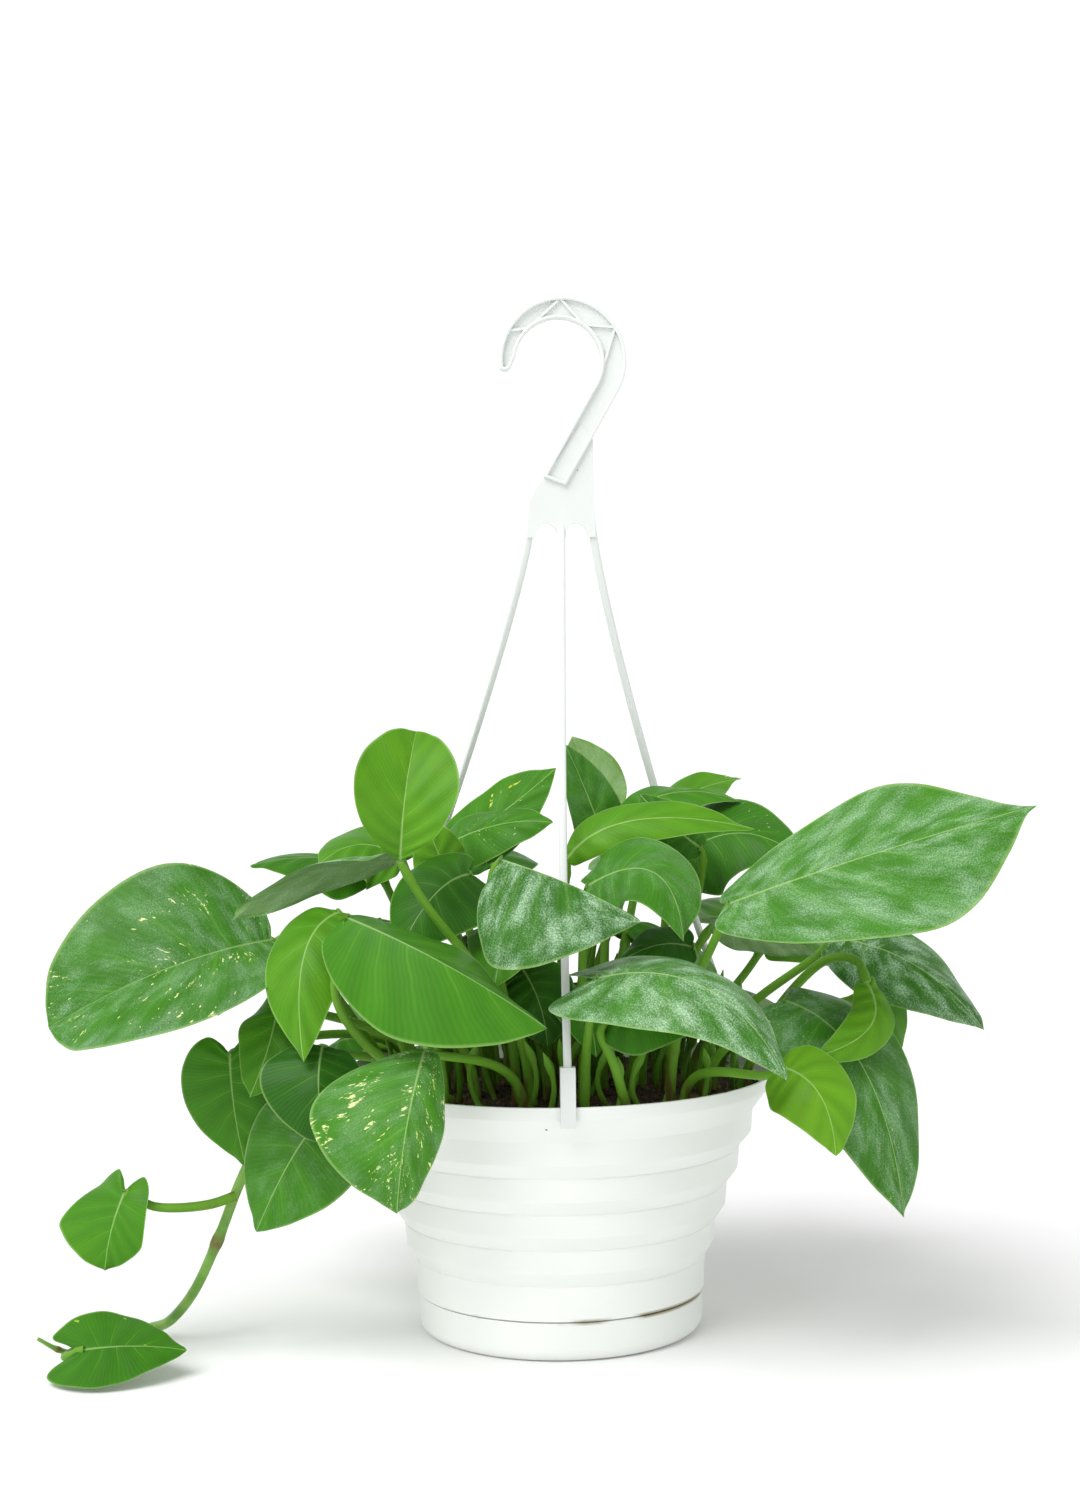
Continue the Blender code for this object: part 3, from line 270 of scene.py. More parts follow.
# Leaves of the trailing vine: the last one lies on the ground.
VINE = [(-68, -30, 118.5), (-84, -33, 126), (-103, -36, 128), (-122, -37, 117), (-136, -38, 98),
        (-146, -44, 78), (-156, -43, 53), (-168, -36, 28), (-181, -25, 11), (-192, -15, 4.5),
        (-202, -22, 3.2), (-213, -40, 3.2), (-219, -56, 4.5), (-226, -65, 9), (-234, -69, 15)]
VINE_LEAVES = {
    "trail_twisted": leaf((-196, -56, 78), (-203, -62, 62), (-205, -60, 43), (-0.6, -0.78, 0.1), 44,
        (0.24, 0.5, 0.2), fold=-4, cup=-8, tip_face=(-0.1, -1, 0.1), skew=-0.25,
        route=[(-147, -50, 74), (-158, -53, 71), (-172, -55, 70), (-184, -55, 71), (-192, -56, 76)]),
    "trail_heart": leaf((-211, -82, 13.5), (-188, -84, 17), (-166, -80, 12), (0, -0.5, 0.87), 48, TRAIL_HEART,
        fold=-6, cup=4, route=[(-206, -32, 7.5), (-213, -50, 8), (-220, -66, 7.5), (-220, -77, 9)]),
}


# ---- how each leaf looks ----
def look(young=0.4, fleck=0.0, silver=0.0, patch=0.0, wave=1.8):
    """young runs from deep to lime green; fleck, silver and patch are the share of each marking."""
    return dict(young=young, fleck=fleck, silver=silver, patch=patch, wave=wave)


LOOKS = {
    "left_large": look(0.34, fleck=0.52, silver=0.40, wave=2.4),
    "left_back": look(0.35, fleck=0.2, patch=0.25),
    "left_curled": look(0.50, silver=0.95, wave=2.6),
    "crown_round": look(0.62, wave=1.2),
    "left_lime": look(0.60, wave=2.2),
    "front_left_broad": look(0.44, wave=2.2),
    "left_heart": look(0.44, fleck=0.1),
    "left_fresh": look(0.50),
    "left_dark_fold": look(0.14),
    "left_dark_low": look(0.36, fleck=0.1, silver=0.15),
    "front_left_speckled": look(0.42, fleck=0.58, silver=0.25, patch=0.06),
    "mid_yellow_back": look(0.45, fleck=0.45, patch=0.34),
    "mid_yellow_front": look(0.42, fleck=0.45, patch=0.26),
    "left_back_lime": look(0.56, fleck=0.2, patch=0.2),
    "crown_patch": look(0.62, patch=0.36),
    "crown_shade": look(0.26, fleck=0.3, patch=0.3),
    "front_silver": look(0.22, silver=1.0, fleck=0.15),
    "mid_arching": look(0.40, silver=0.2, wave=2.4),
    "mid_long_lime": look(0.62),
    "crown_spear": look(0.34, silver=0.15),
    "crown_pale": look(0.80, silver=0.9, fleck=0.4),
    "right_back_spear": look(0.60, fleck=0.3, patch=0.3),
    "right_back_flat": look(0.45, fleck=0.2),
    "right_yellow_tip": look(0.30, fleck=0.42, patch=0.12, wave=2.4),
    "right_dark_small": look(0.30),
    "right_large": look(0.42, silver=0.70, fleck=0.25, patch=0.04, wave=2.2),
    "right_low_dark": look(0.26, silver=1.0, fleck=0.3),
    "front_right_silver": look(0.30, silver=1.0, wave=2.2),
    "front_small": look(0.34),
    "right_drooping": look(0.32, silver=0.5, fleck=0.45),
    "right_lime_low": look(0.74),
    "right_curled": look(0.66),
    "right_sliver": look(0.55, fleck=0.2),
    "mid_shade": look(0.22),
    "right_grey_under": look(0.35, silver=0.7),
    "mid_small_dark": look(0.20),
    "trail_twisted": look(0.50),
    "trail_heart": look(0.34, patch=0.32, fleck=0.1),
}


# ---- meshes ----
def put_in_scene(name, data):
    obj = bpy.data.objects.new(name, data)
    bpy.context.scene.collection.objects.link(obj)
    return obj


def add_mesh(name, verts, faces):
    """A mesh object at the origin from points in millimetres."""
    mesh = bpy.data.meshes.new(name)
    mesh.from_pydata([tuple(float(c) * MM for c in v) for v in verts], [], faces)
    mesh.update()
    mesh.shade_smooth()
    mesh.set_sharp_from_angle(angle=math.radians(40))
    return put_in_scene(name, mesh)


def dress(obj, finish, slot, *nodes):
    """Give a finished piece its material and its place in the model."""
    obj.data.materials.clear()
    obj.data.materials.append(finish)
    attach(obj, "root")
    if nodes:
        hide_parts(*nodes)
    return obj


def put_attributes(mesh, **fields):
    """Store values for each vertex: numbers, vectors or colours, told apart by their width."""
    kinds = {1: ("FLOAT", "value"), 3: ("FLOAT_VECTOR", "vector"), 4: ("FLOAT_COLOR", "color")}
    for name, values in fields.items():
        values = np.asarray(values, np.float32)
        kind, field = kinds[values.size // len(values)]
        mesh.attributes.new(name, kind, "POINT").data.foreach_set(field, values.ravel())


def polar(radius, turn):
    return radius * math.cos(turn), radius * math.sin(turn)


def circle(radius, height, sides):
    return [(*polar(radius, 2 * math.pi * j / sides), height) for j in range(sides)]


def turned(name, profile, sides=TURNED_SIDES):
    """A solid of revolution. The profile starts and ends on the axis, outside first."""
    rings = profile[1:-1]
    verts = [(0.0, 0.0, profile[0][1])]
    for radius, height in rings:
        verts += circle(radius, height, sides)
    verts.append((0.0, 0.0, profile[-1][1]))
    faces = []
    last = len(verts) - 1
    top = 1 + (len(rings) - 1) * sides
    for j in range(sides):
        k = (j + 1) % sides
        faces += [(0, 1 + k, 1 + j), (last, top + j, top + k)]
        for low in range(1, top, sides):
            high = low + sides
            faces.append((low + j, low + k, high + k, high + j))
    return add_mesh(name, verts, faces)


def rounded(profile, radius, count=3):
    """The profile with each inner corner cut back and replaced by a short curve."""
    points = [profile[0]]
    for before, corner, after in zip(profile, profile[1:], profile[2:]):
        before, here, after = (np.asarray(p, float) for p in (before, corner, after))
        back, ahead = before - here, after - here
        reach = min(radius, 0.45 * np.linalg.norm(back), 0.45 * np.linalg.norm(ahead))
        start = here + back / np.linalg.norm(back) * reach
        end = here + ahead / np.linalg.norm(ahead) * reach
        for i in range(count + 1):
            u = i / count
            points.append(tuple((1 - u) ** 2 * start + 2 * u * (1 - u) * here + u * u * end))
    points.append(profile[-1])
    return points


def extruded(name, outline, depth):
    """A flat (x, z) outline, listed anticlockwise seen from the front, made depth thick."""
    count = len(outline)
    verts = [(x, -depth / 2, z) for x, z in outline] + [(x, depth / 2, z) for x, z in outline]
    faces = [tuple(range(count)), tuple(range(2 * count - 1, count - 1, -1))]
    for i in range(count):
        j = (i + 1) % count
        faces.append((j, i, count + i, count + j))
    return add_mesh(name, verts, faces)


def lofted(name, loops, tip=None):
    """Skin over loops of points that run from a capped start to an end that is a cap or a tip.

    The patches of each loop's second half are cut in two as the mirror image of the first
    half's, so the two skins of a thin blade bend alike and never cross.
    """
    sides = len(loops[0])
    verts = [p for loop in loops for p in loop]
    faces = [tuple(reversed(range(sides)))]
    for i in range(len(loops) - 1):
        low, high = i * sides, (i + 1) * sides
        for j in range(sides):
            k = (j + 1) % sides
            if j < sides // 2:
                faces += [(low + j, low + k, high + k), (low + j, high + k, high + j)]
            else:
                faces += [(low + j, low + k, high + j), (low + k, high + k, high + j)]
    end = (len(loops) - 1) * sides
    if tip is None:
        faces.append(tuple(range(end, end + sides)))
    else:
        verts.append(tip)
        for j in range(sides):
            faces.append((end + j, end + (j + 1) % sides, len(verts) - 1))
    return add_mesh(name, verts, faces)


def boolean(target, others, operation):
    """Join or cut target with the other objects, one after another, then drop them."""
    for other in others:
        modifier = target.modifiers.new(operation, "BOOLEAN")
        modifier.operation = operation
        modifier.solver = "EXACT"
        modifier.object = other
    bake(target)
    for other in others:
        bpy.data.objects.remove(other, do_unlink=True)
    return target


def bake(obj):
    """Turn an object's modifiers into its plain mesh."""
    bpy.context.view_layer.update()
    graph = bpy.context.evaluated_depsgraph_get()
    mesh = bpy.data.meshes.new_from_object(obj.evaluated_get(graph))
    obj.modifiers.clear()
    obj.data = mesh
    return obj


# ---- curves and frames ----
def unit(v):
    v = np.asarray(v, float)
    return v / np.maximum(np.linalg.norm(v, axis=-1, keepdims=True), 1e-9)


def bezier(points, t):
    pts = [np.asarray(p, float) for p in points]
    while len(pts) > 1:
        pts = [a + (b - a) * t for a, b in zip(pts, pts[1:])]
    return pts[0]


def through(points, t):
    """A point on the smooth (Catmull-Rom) curve through the points, t from 0 to 1."""
    pts = [np.asarray(p, float) for p in points]
    pts = [2 * pts[0] - pts[1]] + pts + [2 * pts[-1] - pts[-2]]
    span = min(int(t * (len(pts) - 3)), len(pts) - 4)
    u = t * (len(pts) - 3) - span
    a, b, c, d = pts[span:span + 4]
    return 0.5 * (2 * b + (c - a) * u + (2 * a - 5 * b + 4 * c - d) * u * u
                  + (3 * b - a - 3 * c + d) * u ** 3)


def ring(centre, side, up, radius, count):
    turns = 2 * math.pi * np.arange(count) / count
    return [centre + side * radius * math.cos(a) + up * radius * math.sin(a) for a in turns]


def tube_loops(path, radii, count, side):
    """Loops round a path; side is the starting sideways direction, carried without twisting."""
    loops = []
    for i, centre in enumerate(path):
        along = unit(path[min(i + 1, len(path) - 1)] - path[max(i - 1, 0)])
        side = unit(side - along * np.dot(side, along))
        loops.append(ring(centre, side, np.cross(along, side), radii[i], count))
    return loops


def seated(point):
    """Move a point of the plant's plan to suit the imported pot's rim.

    What grows in the pot or above it keeps its height over the rim. What hangs outside keeps
    its share of the height above the ground.
    """
    x, y, z = point
    spread = RIM_RADIUS / PLAN_RIM_RADIUS
    if z < PLAN_POT_TOP and math.hypot(x, y) > PLAN_RIM_RADIUS:
        z = z * POT_TOP / PLAN_POT_TOP
    else:
        z = z + POT_TOP - PLAN_POT_TOP
    return np.array([x * spread, y * spread, z])


# ---- materials ----
def plug(tree, value, socket):
    """Set a socket to a value, or link it when the value is another node's output."""
    if isinstance(value, bpy.types.NodeSocket):
        tree.links.new(value, socket)
    elif isinstance(value, tuple) and len(value) == 3 and len(socket.default_value) == 4:
        socket.default_value = (*value, 1.0)
    else:
        socket.default_value = value


def add_node(tree, kind, inputs=(), **settings):
    """Add a node, feed its inputs by name or in order, and give back its outputs."""
    node = tree.nodes.new(kind)
    for key, value in settings.items():
        setattr(node, key, value)
    for key, value in inputs.items() if isinstance(inputs, dict) else enumerate(inputs):
        plug(tree, value, node.inputs[key])
    return node.outputs


class Finish:
    """A procedural material, built from small named steps."""

    def __init__(self, name, roughness=0.5, **sockets):
        self.material = bpy.data.materials.new(name)
        self.material.use_nodes = True
        self.tree = self.material.node_tree
        self.shader = self.tree.nodes["Principled BSDF"]
        for socket, value in dict(sockets, Roughness=roughness).items():
            self.shader.inputs[socket.replace("_", " ")].default_value = value

    def add(self, kind, inputs=(), **settings):
        return add_node(self.tree, kind, inputs, **settings)

    def math(self, operation, a, b=0.0, clamp=False):
        return self.add("ShaderNodeMath", (a, b, 0.0), operation=operation, use_clamp=clamp)[0]

    def times(self, a, b):
        return self.math("MULTIPLY", a, b)

    def plus(self, a, b):
        return self.math("ADD", a, b)

    def mix(self, share, a, b, blend="MIX"):
        return self.add("ShaderNodeMix", {0: share, 6: a, 7: b}, data_type="RGBA", blend_type=blend)[2]

    def step(self, value, low, high, out_low=0.0, out_high=1.0):
        """Rise smoothly from out_low to out_high as the value goes from low to high."""
        return self.add("ShaderNodeMapRange", (value, low, high, out_low, out_high),
                        interpolation_type="SMOOTHSTEP")[0]

    def noise(self, vector, scale, detail=2.0, roughness=0.5, distortion=0.0):
        return self.add("ShaderNodeTexNoise", {"Vector": vector, "Scale": scale, "Detail": detail,
                                               "Roughness": roughness, "Distortion": distortion})["Fac"]

    def cells(self, vector, scale):
        return self.add("ShaderNodeTexVoronoi", {"Vector": vector, "Scale": scale})["Distance"]

    def attribute(self, name):
        return self.add("ShaderNodeAttribute", attribute_name=name)

    def split(self, vector):
        return self.add("ShaderNodeSeparateXYZ", (vector,))

    def join(self, x, y, z):
        return self.add("ShaderNodeCombineXYZ", (x, y, z))[0]

    def place(self):
        return self.add("ShaderNodeTexCoord")["Object"]

    def stretch(self, vector, scale):
        return self.add("ShaderNodeMapping", {"Vector": vector, "Scale": scale})[0]

    def relief(self, height, depth, strength):
        return self.add("ShaderNodeBump", {"Strength": strength, "Distance": depth, "Height": height})[0]

    def done(self, colour, roughness=None, normal=None):
        for name, value in (("Base Color", colour), ("Roughness", roughness), ("Normal", normal)):
            if value is not None:
                plug(self.tree, value, self.shader.inputs[name])
        return self.material


DEEP_GREEN = (0.014, 0.085, 0.008)
LEAF_GREEN = (0.047, 0.205, 0.008)
LIME_GREEN = (0.170, 0.400, 0.014)
CREAM = (0.74, 0.79, 0.34)
YELLOW = (0.60, 0.70, 0.07)
SILVER = (0.50, 0.72, 0.50)
UNDERSIDE = (0.32, 0.48, 0.22)
STALK_GREEN = (0.15, 0.33, 0.03)
SHEATH_BROWN = (0.11, 0.055, 0.02)
VEIN_GREEN = (0.24, 0.46, 0.07)
SIDE_VEINS = 8.0


def leaf_finish():
    """One finish for all leaves: each leaf carries its own tone, seed and rib coordinates."""
    f = Finish("pothos_leaf", 0.38, Subsurface_Weight=0.0, Specular_IOR_Level=0.12, Coat_Weight=0.02,
               Coat_Roughness=0.25)
    row, across, stalk = f.split(f.attribute("rib")["Vector"])
    plan = f.attribute("plan")["Vector"]
    _, flat_y, seed = f.split(plan)
    tone = f.attribute("tone")
    young, fleck, silver = f.add("ShaderNodeSeparateColor", (tone["Color"],))
    patch = tone["Alpha"]
    under = f.attribute("under")["Fac"]
    side = f.math("ABSOLUTE", across)

    # distance to the nearest side vein, counted along the rows, with the halves out of step
    left_half = f.math("GREATER_THAN", across, 0.0)
    wander = f.noise(plan, 45.0, 2.0)
    count = f.plus(f.times(row, SIDE_VEINS), f.times(left_half, 0.45))
    count = f.plus(count, f.times(wander, 0.35))
    near_vein = f.math("PINGPONG", count, 0.5)
    vein = f.step(near_vein, 0.0, 0.10, 1.0, 0.0)
    vein = f.times(vein, f.step(side, 0.10, 0.90, 1.0, 0.0))
    fine_count = f.times(count, 7.0)
    fine = f.step(f.math("PINGPONG", fine_count, 0.5), 0.0, 0.5, 1.0, 0.0)
    rib_width = f.step(row, 0.0, 1.0, 0.00125, 0.00025)
    midrib = f.step(f.math("ABSOLUTE", flat_y), 0.0, rib_width, 1.0, 0.0)
    margin = f.step(side, 0.955, 0.995)

    # ground colour, with painted shade over the swells between the side veins
    cloud = f.noise(plan, 30.0, 3.0, 0.6)
    young_here = f.plus(young, f.times(f.math("SUBTRACT", cloud, 0.5), 0.35))
    colour = f.mix(f.step(young_here, 0.0, 0.5), DEEP_GREEN, LEAF_GREEN)
    colour = f.mix(f.step(young_here, 0.4, 1.0), colour, LIME_GREEN)
    # painted shade: midway between the side veins the green is multiplied darker, standing in for the shadows
    # of the quilted blade
    between = f.step(near_vein, 0.08, 0.5)
    shaded = f.mix(1.0, colour, (0.62, 0.66, 0.6), "MULTIPLY")
    colour = f.mix(f.times(between, 0.35), colour, shaded)
    colour = f.mix(f.times(fine, 0.05), colour, VEIN_GREEN)

    # silver dust: fine speckle in broad clouds that follow the side veins
    vein_space = f.join(f.times(row, 9.0), f.times(across, 1.6), seed)
    drift = f.noise(vein_space, 1.6, 3.0, 0.6)
    grain = f.noise(plan, 1300.0, 2.0, 0.75)
    dust = f.times(f.step(grain, 0.40, 0.68), f.step(drift, 0.25, 0.70))
    dust = f.plus(f.times(dust, 0.62), f.times(f.step(drift, 0.40, 0.85), 0.42))
    colour = f.mix(f.math("MULTIPLY", dust, silver, clamp=True), colour, SILVER)

    # cream flecks: streaks along the side veins, in drifts
    streak_space = f.join(f.times(row, 85.0), f.times(across, 11.0), seed)
    streak = f.noise(streak_space, 1.0, 3.0, 0.65, 0.4)
    drift_two = f.noise(f.join(f.times(row, 6.0), f.times(across, 2.2), seed), 1.3, 2.0)
    level = f.math("SUBTRACT", 0.90, f.times(fleck, f.step(drift_two, 0.30, 0.70, 0.25, 0.62)))
    flecks = f.step(streak, level, f.plus(level, 0.06))
    colour = f.mix(flecks, colour, CREAM)
    patch_space = f.join(f.times(row, 11.0), f.times(across, 2.6), f.plus(seed, 7.0))
    field = f.noise(patch_space, 1.0, 3.0, 0.6, 0.3)
    patch_level = f.math("SUBTRACT", 0.88, f.times(patch, 0.60))
    patches = f.step(field, patch_level, f.plus(patch_level, 0.05))
    colour = f.mix(patches, colour, YELLOW)

    # veins, midrib and margin
    colour = f.mix(f.times(vein, 0.13), colour, VEIN_GREEN)
    colour = f.mix(f.times(midrib, 0.55), colour, (0.42, 0.62, 0.22))
    colour = f.mix(f.times(margin, 0.35), colour, (0.40, 0.60, 0.20))

    # paler, duller underside
    colour = f.mix(f.times(under, 0.55), colour, UNDERSIDE)

    # stalk: pale green, brown and papery towards the soil
    on_stalk = f.step(stalk, 0.0, 0.03)
    sheath_noise = f.noise(f.stretch(f.place(), (1, 1, 0.25)), 160.0, 3.0)
    brown = f.times(f.step(stalk, 0.72, 1.0), f.step(sheath_noise, 0.40, 0.62))
    green = f.mix(f.noise(f.place(), 60.0, 2.0), STALK_GREEN, f.mix(0.5, STALK_GREEN, LEAF_GREEN))
    colour = f.mix(on_stalk, colour, f.mix(brown, green, SHEATH_BROWN))

    roughness = f.plus(0.33, f.times(f.noise(plan, 120.0, 3.0), 0.16))
    roughness = f.plus(roughness, f.times(under, 0.15))
    height = f.plus(f.times(vein, -1.0), f.times(fine, -0.25))
    height = f.plus(height, f.times(f.noise(plan, 700.0, 2.0), 0.3))
    normal = f.relief(height, 0.0002, 0.6)
    return f.done(colour, roughness, normal)


def plastic_finish(name, colour, seam_band_height=None, rings=0.0):
    """Moulded plastic with fine dark specks, faint turning lines and a patchy dark brownish band along a
    seam.
    """
    f = Finish(name, 0.42, Specular_IOR_Level=0.45)
    place = f.place()
    z = f.split(place)[2]
    haze = f.noise(place, 14.0, 3.0)
    base = f.mix(f.step(haze, 0.30, 0.70), colour, tuple(c * 0.955 for c in colour))
    specks = f.step(f.cells(place, 62.0), 0.020, 0.034, 1.0, 0.0)
    specks = f.times(specks, f.step(f.noise(place, 9.0, 1.0), 0.52, 0.60))
    base = f.mix(f.times(specks, 0.85), base, (0.05, 0.04, 0.035))
    if seam_band_height is not None:
        # a patchy dark brownish band at the given height, where the pot meets the saucer
        level = f.math("ABSOLUTE", f.math("SUBTRACT", z, seam_band_height * MM))
        seam = f.step(level, 0.0003, 0.0016, 1.0, 0.0)
        seam = f.times(seam, f.step(f.noise(place, 26.0, 3.0), 0.50, 0.62))
        base = f.mix(f.times(seam, 0.8), base, (0.20, 0.16, 0.05))
    grain = f.noise(place, 420.0, 3.0, 0.6)
    height = f.times(grain, 0.25)
    if rings:
        turning = f.noise(f.join(0.0, 0.0, z), rings, 2.0)
        height = f.plus(height, turning)
    roughness = f.plus(0.36, f.times(haze, 0.16))
    return f.done(base, roughness, f.relief(height, 0.0002, 0.35))


def soil_finish():
    f = Finish("potting_soil", 0.9)
    place = f.place()
    lumps = f.noise(place, 260.0, 5.0, 0.7)
    fibre = f.noise(f.stretch(place, (1, 0.3, 1)), 700.0, 3.0, 0.6)
    colour = f.mix(f.step(lumps, 0.30, 0.70), (0.018, 0.011, 0.008), (0.085, 0.050, 0.028))
    colour = f.mix(f.times(f.step(fibre, 0.58, 0.70), 0.5), colour, (0.20, 0.13, 0.07))
    return f.done(colour, f.step(lumps, 0.3, 0.7, 0.75, 0.95), f.relief(lumps, 0.001, 0.9))


def bark_finish():
    f = Finish("bark_crumbs", 0.85)
    place = f.place()
    tint = f.noise(place, 90.0, 2.0)
    colour = f.mix(f.step(tint, 0.35, 0.65), (0.035, 0.020, 0.012), (0.17, 0.10, 0.05))
    return f.done(colour, None, f.relief(f.noise(place, 900.0, 3.0), 0.0006, 0.8))


def vine_finish():
    """Green stem with brown scarred nodes; the mesh says how near a node is."""
    f = Finish("vine_stem", 0.42, Specular_IOR_Level=0.4)
    place = f.place()
    joint = f.attribute("joint")["Fac"]
    tint = f.noise(place, 70.0, 3.0)
    green = f.mix(f.step(tint, 0.30, 0.70), (0.10, 0.27, 0.035), (0.22, 0.42, 0.07))
    scar = f.times(joint, f.step(f.noise(place, 300.0, 3.0), 0.25, 0.60, 0.55, 1.0))
    colour = f.mix(scar, green, (0.15, 0.085, 0.035))
    height = f.noise(place, 500.0, 3.0)
    return f.done(colour, f.step(joint, 0.0, 1.0, 0.40, 0.75), f.relief(height, 0.0003, 0.4))


# ---- leaves ----
def blade_edge(t, shape):
    """Half of a flat blade's outline: t runs from the stalk, round the lobe, to the tip."""
    lobe, widest, full = shape
    ahead = 1 - widest
    points = [(0.0, 0.0), (0.10 * widest - 0.8 * lobe, 0.17), (0.25 * widest - 1.5 * lobe, 0.44),
              (0.55 * widest - lobe, 0.80), (widest, 1.0),
              (widest + (0.38 + 0.08 * full) * ahead, 0.84 + 0.08 * full),
              (widest + (0.72 + 0.10 * full) * ahead, 0.46 + 0.20 * full),
              (widest + (0.90 + 0.07 * full) * ahead, 0.16 + 0.20 * full), (1.0, 0.0)]
    return through(points, t)


def midrib_frames(spec, count=48):
    """Lengths run, places, directions and upward normals along the midrib."""
    control = [seated(spec["base"]), seated(spec["bend"]), seated(spec["tip"])]
    share = np.linspace(0, 1, count + 1)
    places = np.array([bezier(control, s) for s in share])
    steps = np.linalg.norm(np.diff(places, axis=0), axis=1)
    run = np.concatenate([[0], np.cumsum(steps)])
    along = unit(np.gradient(places, axis=0))
    face = np.outer(1 - share, spec["face"]) + np.outer(share, spec["tip_face"])
    normal = unit(face - along * np.sum(face * along, axis=1, keepdims=True))
    return run, places, along, normal


def on_midrib(frames, x):
    """Place, direction and normal at lengths x along the midrib; behind the base it goes straight."""
    run, places, along, normal = frames
    inside = np.clip(x, 0, run[-1])
    pick = lambda rows: np.stack([np.interp(inside, run, rows[:, k]) for k in range(3)], axis=-1)
    place, ahead, up = pick(places), unit(pick(along)), unit(pick(normal))
    return place + ahead * (x - inside)[..., None], ahead, up


def blade_surface(spec, traits, frames, rng):
    """Upper and lower skins of a blade as arrays of points, with the coordinates its finish reads."""
    length, half_width = frames[0][-1], spec["width"] / 2
    fold, cup = math.radians(spec["fold"]), math.radians(spec["cup"])
    rows = np.arange(1, BLADE_ROWS) / BLADE_ROWS
    steps = np.linspace(1, -1, 2 * HALF_COLUMNS + 1)
    across = np.sign(steps) * np.abs(steps) ** 1.4
    edges = np.array([blade_edge(t, spec["shape"]) for t in rows])
    t, w = np.meshgrid(rows, across, indexing="ij")
    reach = np.abs(w)
    rib_x = t ** RIB_SWEEP
    flat_x = (rib_x + (edges[:, :1] - rib_x) * reach ** 1.15) * length
    flat_y = edges[:, 1:] * w * half_width * (1 + np.sign(w) * spec["skew"])
    place, ahead, up = on_midrib(frames, flat_x)
    left = np.cross(up, ahead)
    curl = cup / half_width
    out_y = np.abs(flat_y)
    lean = fold + curl * out_y
    if abs(curl) < 1e-6:
        out, rise = out_y * math.cos(fold), out_y * math.sin(fold)
    else:
        out = (np.sin(lean) - math.sin(fold)) / curl
        rise = (math.cos(fold) - np.cos(lean)) / curl
    side = np.sign(flat_y)[..., None]
    surface = place + left * side * out[..., None] + up * rise[..., None]
    normal = up * np.cos(lean)[..., None] - left * side * np.sin(lean)[..., None]

    # swells between the side veins and slow waves at the margin
    half_step = np.where(w > 0, 0.45, 0.0)
    swell = 0.5 - 0.5 * np.cos(2 * math.pi * (SIDE_VEINS * t + half_step))
    swell = 0.75 * swell * np.clip(reach * 2.2, 0, 1) * (1 - 0.6 * reach) * np.clip((1 - t) * 5, 0, 1)
    phase = rng.uniform(0, 2 * math.pi, 4)
    wave = np.where(w > 0, np.sin(9 * t + phase[0]) + 0.5 * np.sin(21 * t + phase[1]),
                    np.sin(8 * t + phase[2]) + 0.5 * np.sin(19 * t + phase[3]))
    wave = traits["wave"] * wave * reach ** 2.2 * np.sin(math.pi * np.clip(t, 0, 1)) ** 0.5
    surface = surface + normal * (swell + wave)[..., None]

    groove = np.exp(-(flat_y / 1.1) ** 2) * np.clip(1.1 - t, 0, 1)
    thick = BLADE_THICKNESS / 2 * (1 - reach ** 8)
    upper = surface + normal * (thick - 0.45 * groove)[..., None]
    lower = surface - normal * (thick + 0.8 * groove)[..., None]
    return upper, lower, t, w, flat_x, flat_y


def stalk_path(spec, frames):
    """Stalk centres from the root to the blade."""
    _, places, along, normal = frames
    base = places[0]
    if spec["route"]:
        points = [seated(p) for p in spec["route"]] + [base]
        return [through(points, i / STALK_ROWS) for i in range(STALK_ROWS + 1)]
    root = seated((*spec["root"], PLAN_POT_TOP))
    root[2] = SOIL_TOP + GAP
    span = np.linalg.norm(base - root)
    leave = unit(-along[0] * 0.6 - normal[0] * 0.5 + np.array([0, 0, -0.5]))
    control = [root, root + np.array([0, 0, 0.45 * span]), base + leave * 0.3 * span, base]
    return [bezier(control, i / STALK_ROWS) for i in range(STALK_ROWS + 1)]


def round_both_skins(upper, lower):
    """Values across the upper skin and back across the lower one, the shared edges once."""
    return np.concatenate([upper, lower[:, 2 * HALF_COLUMNS - 1:0:-1]], axis=1)


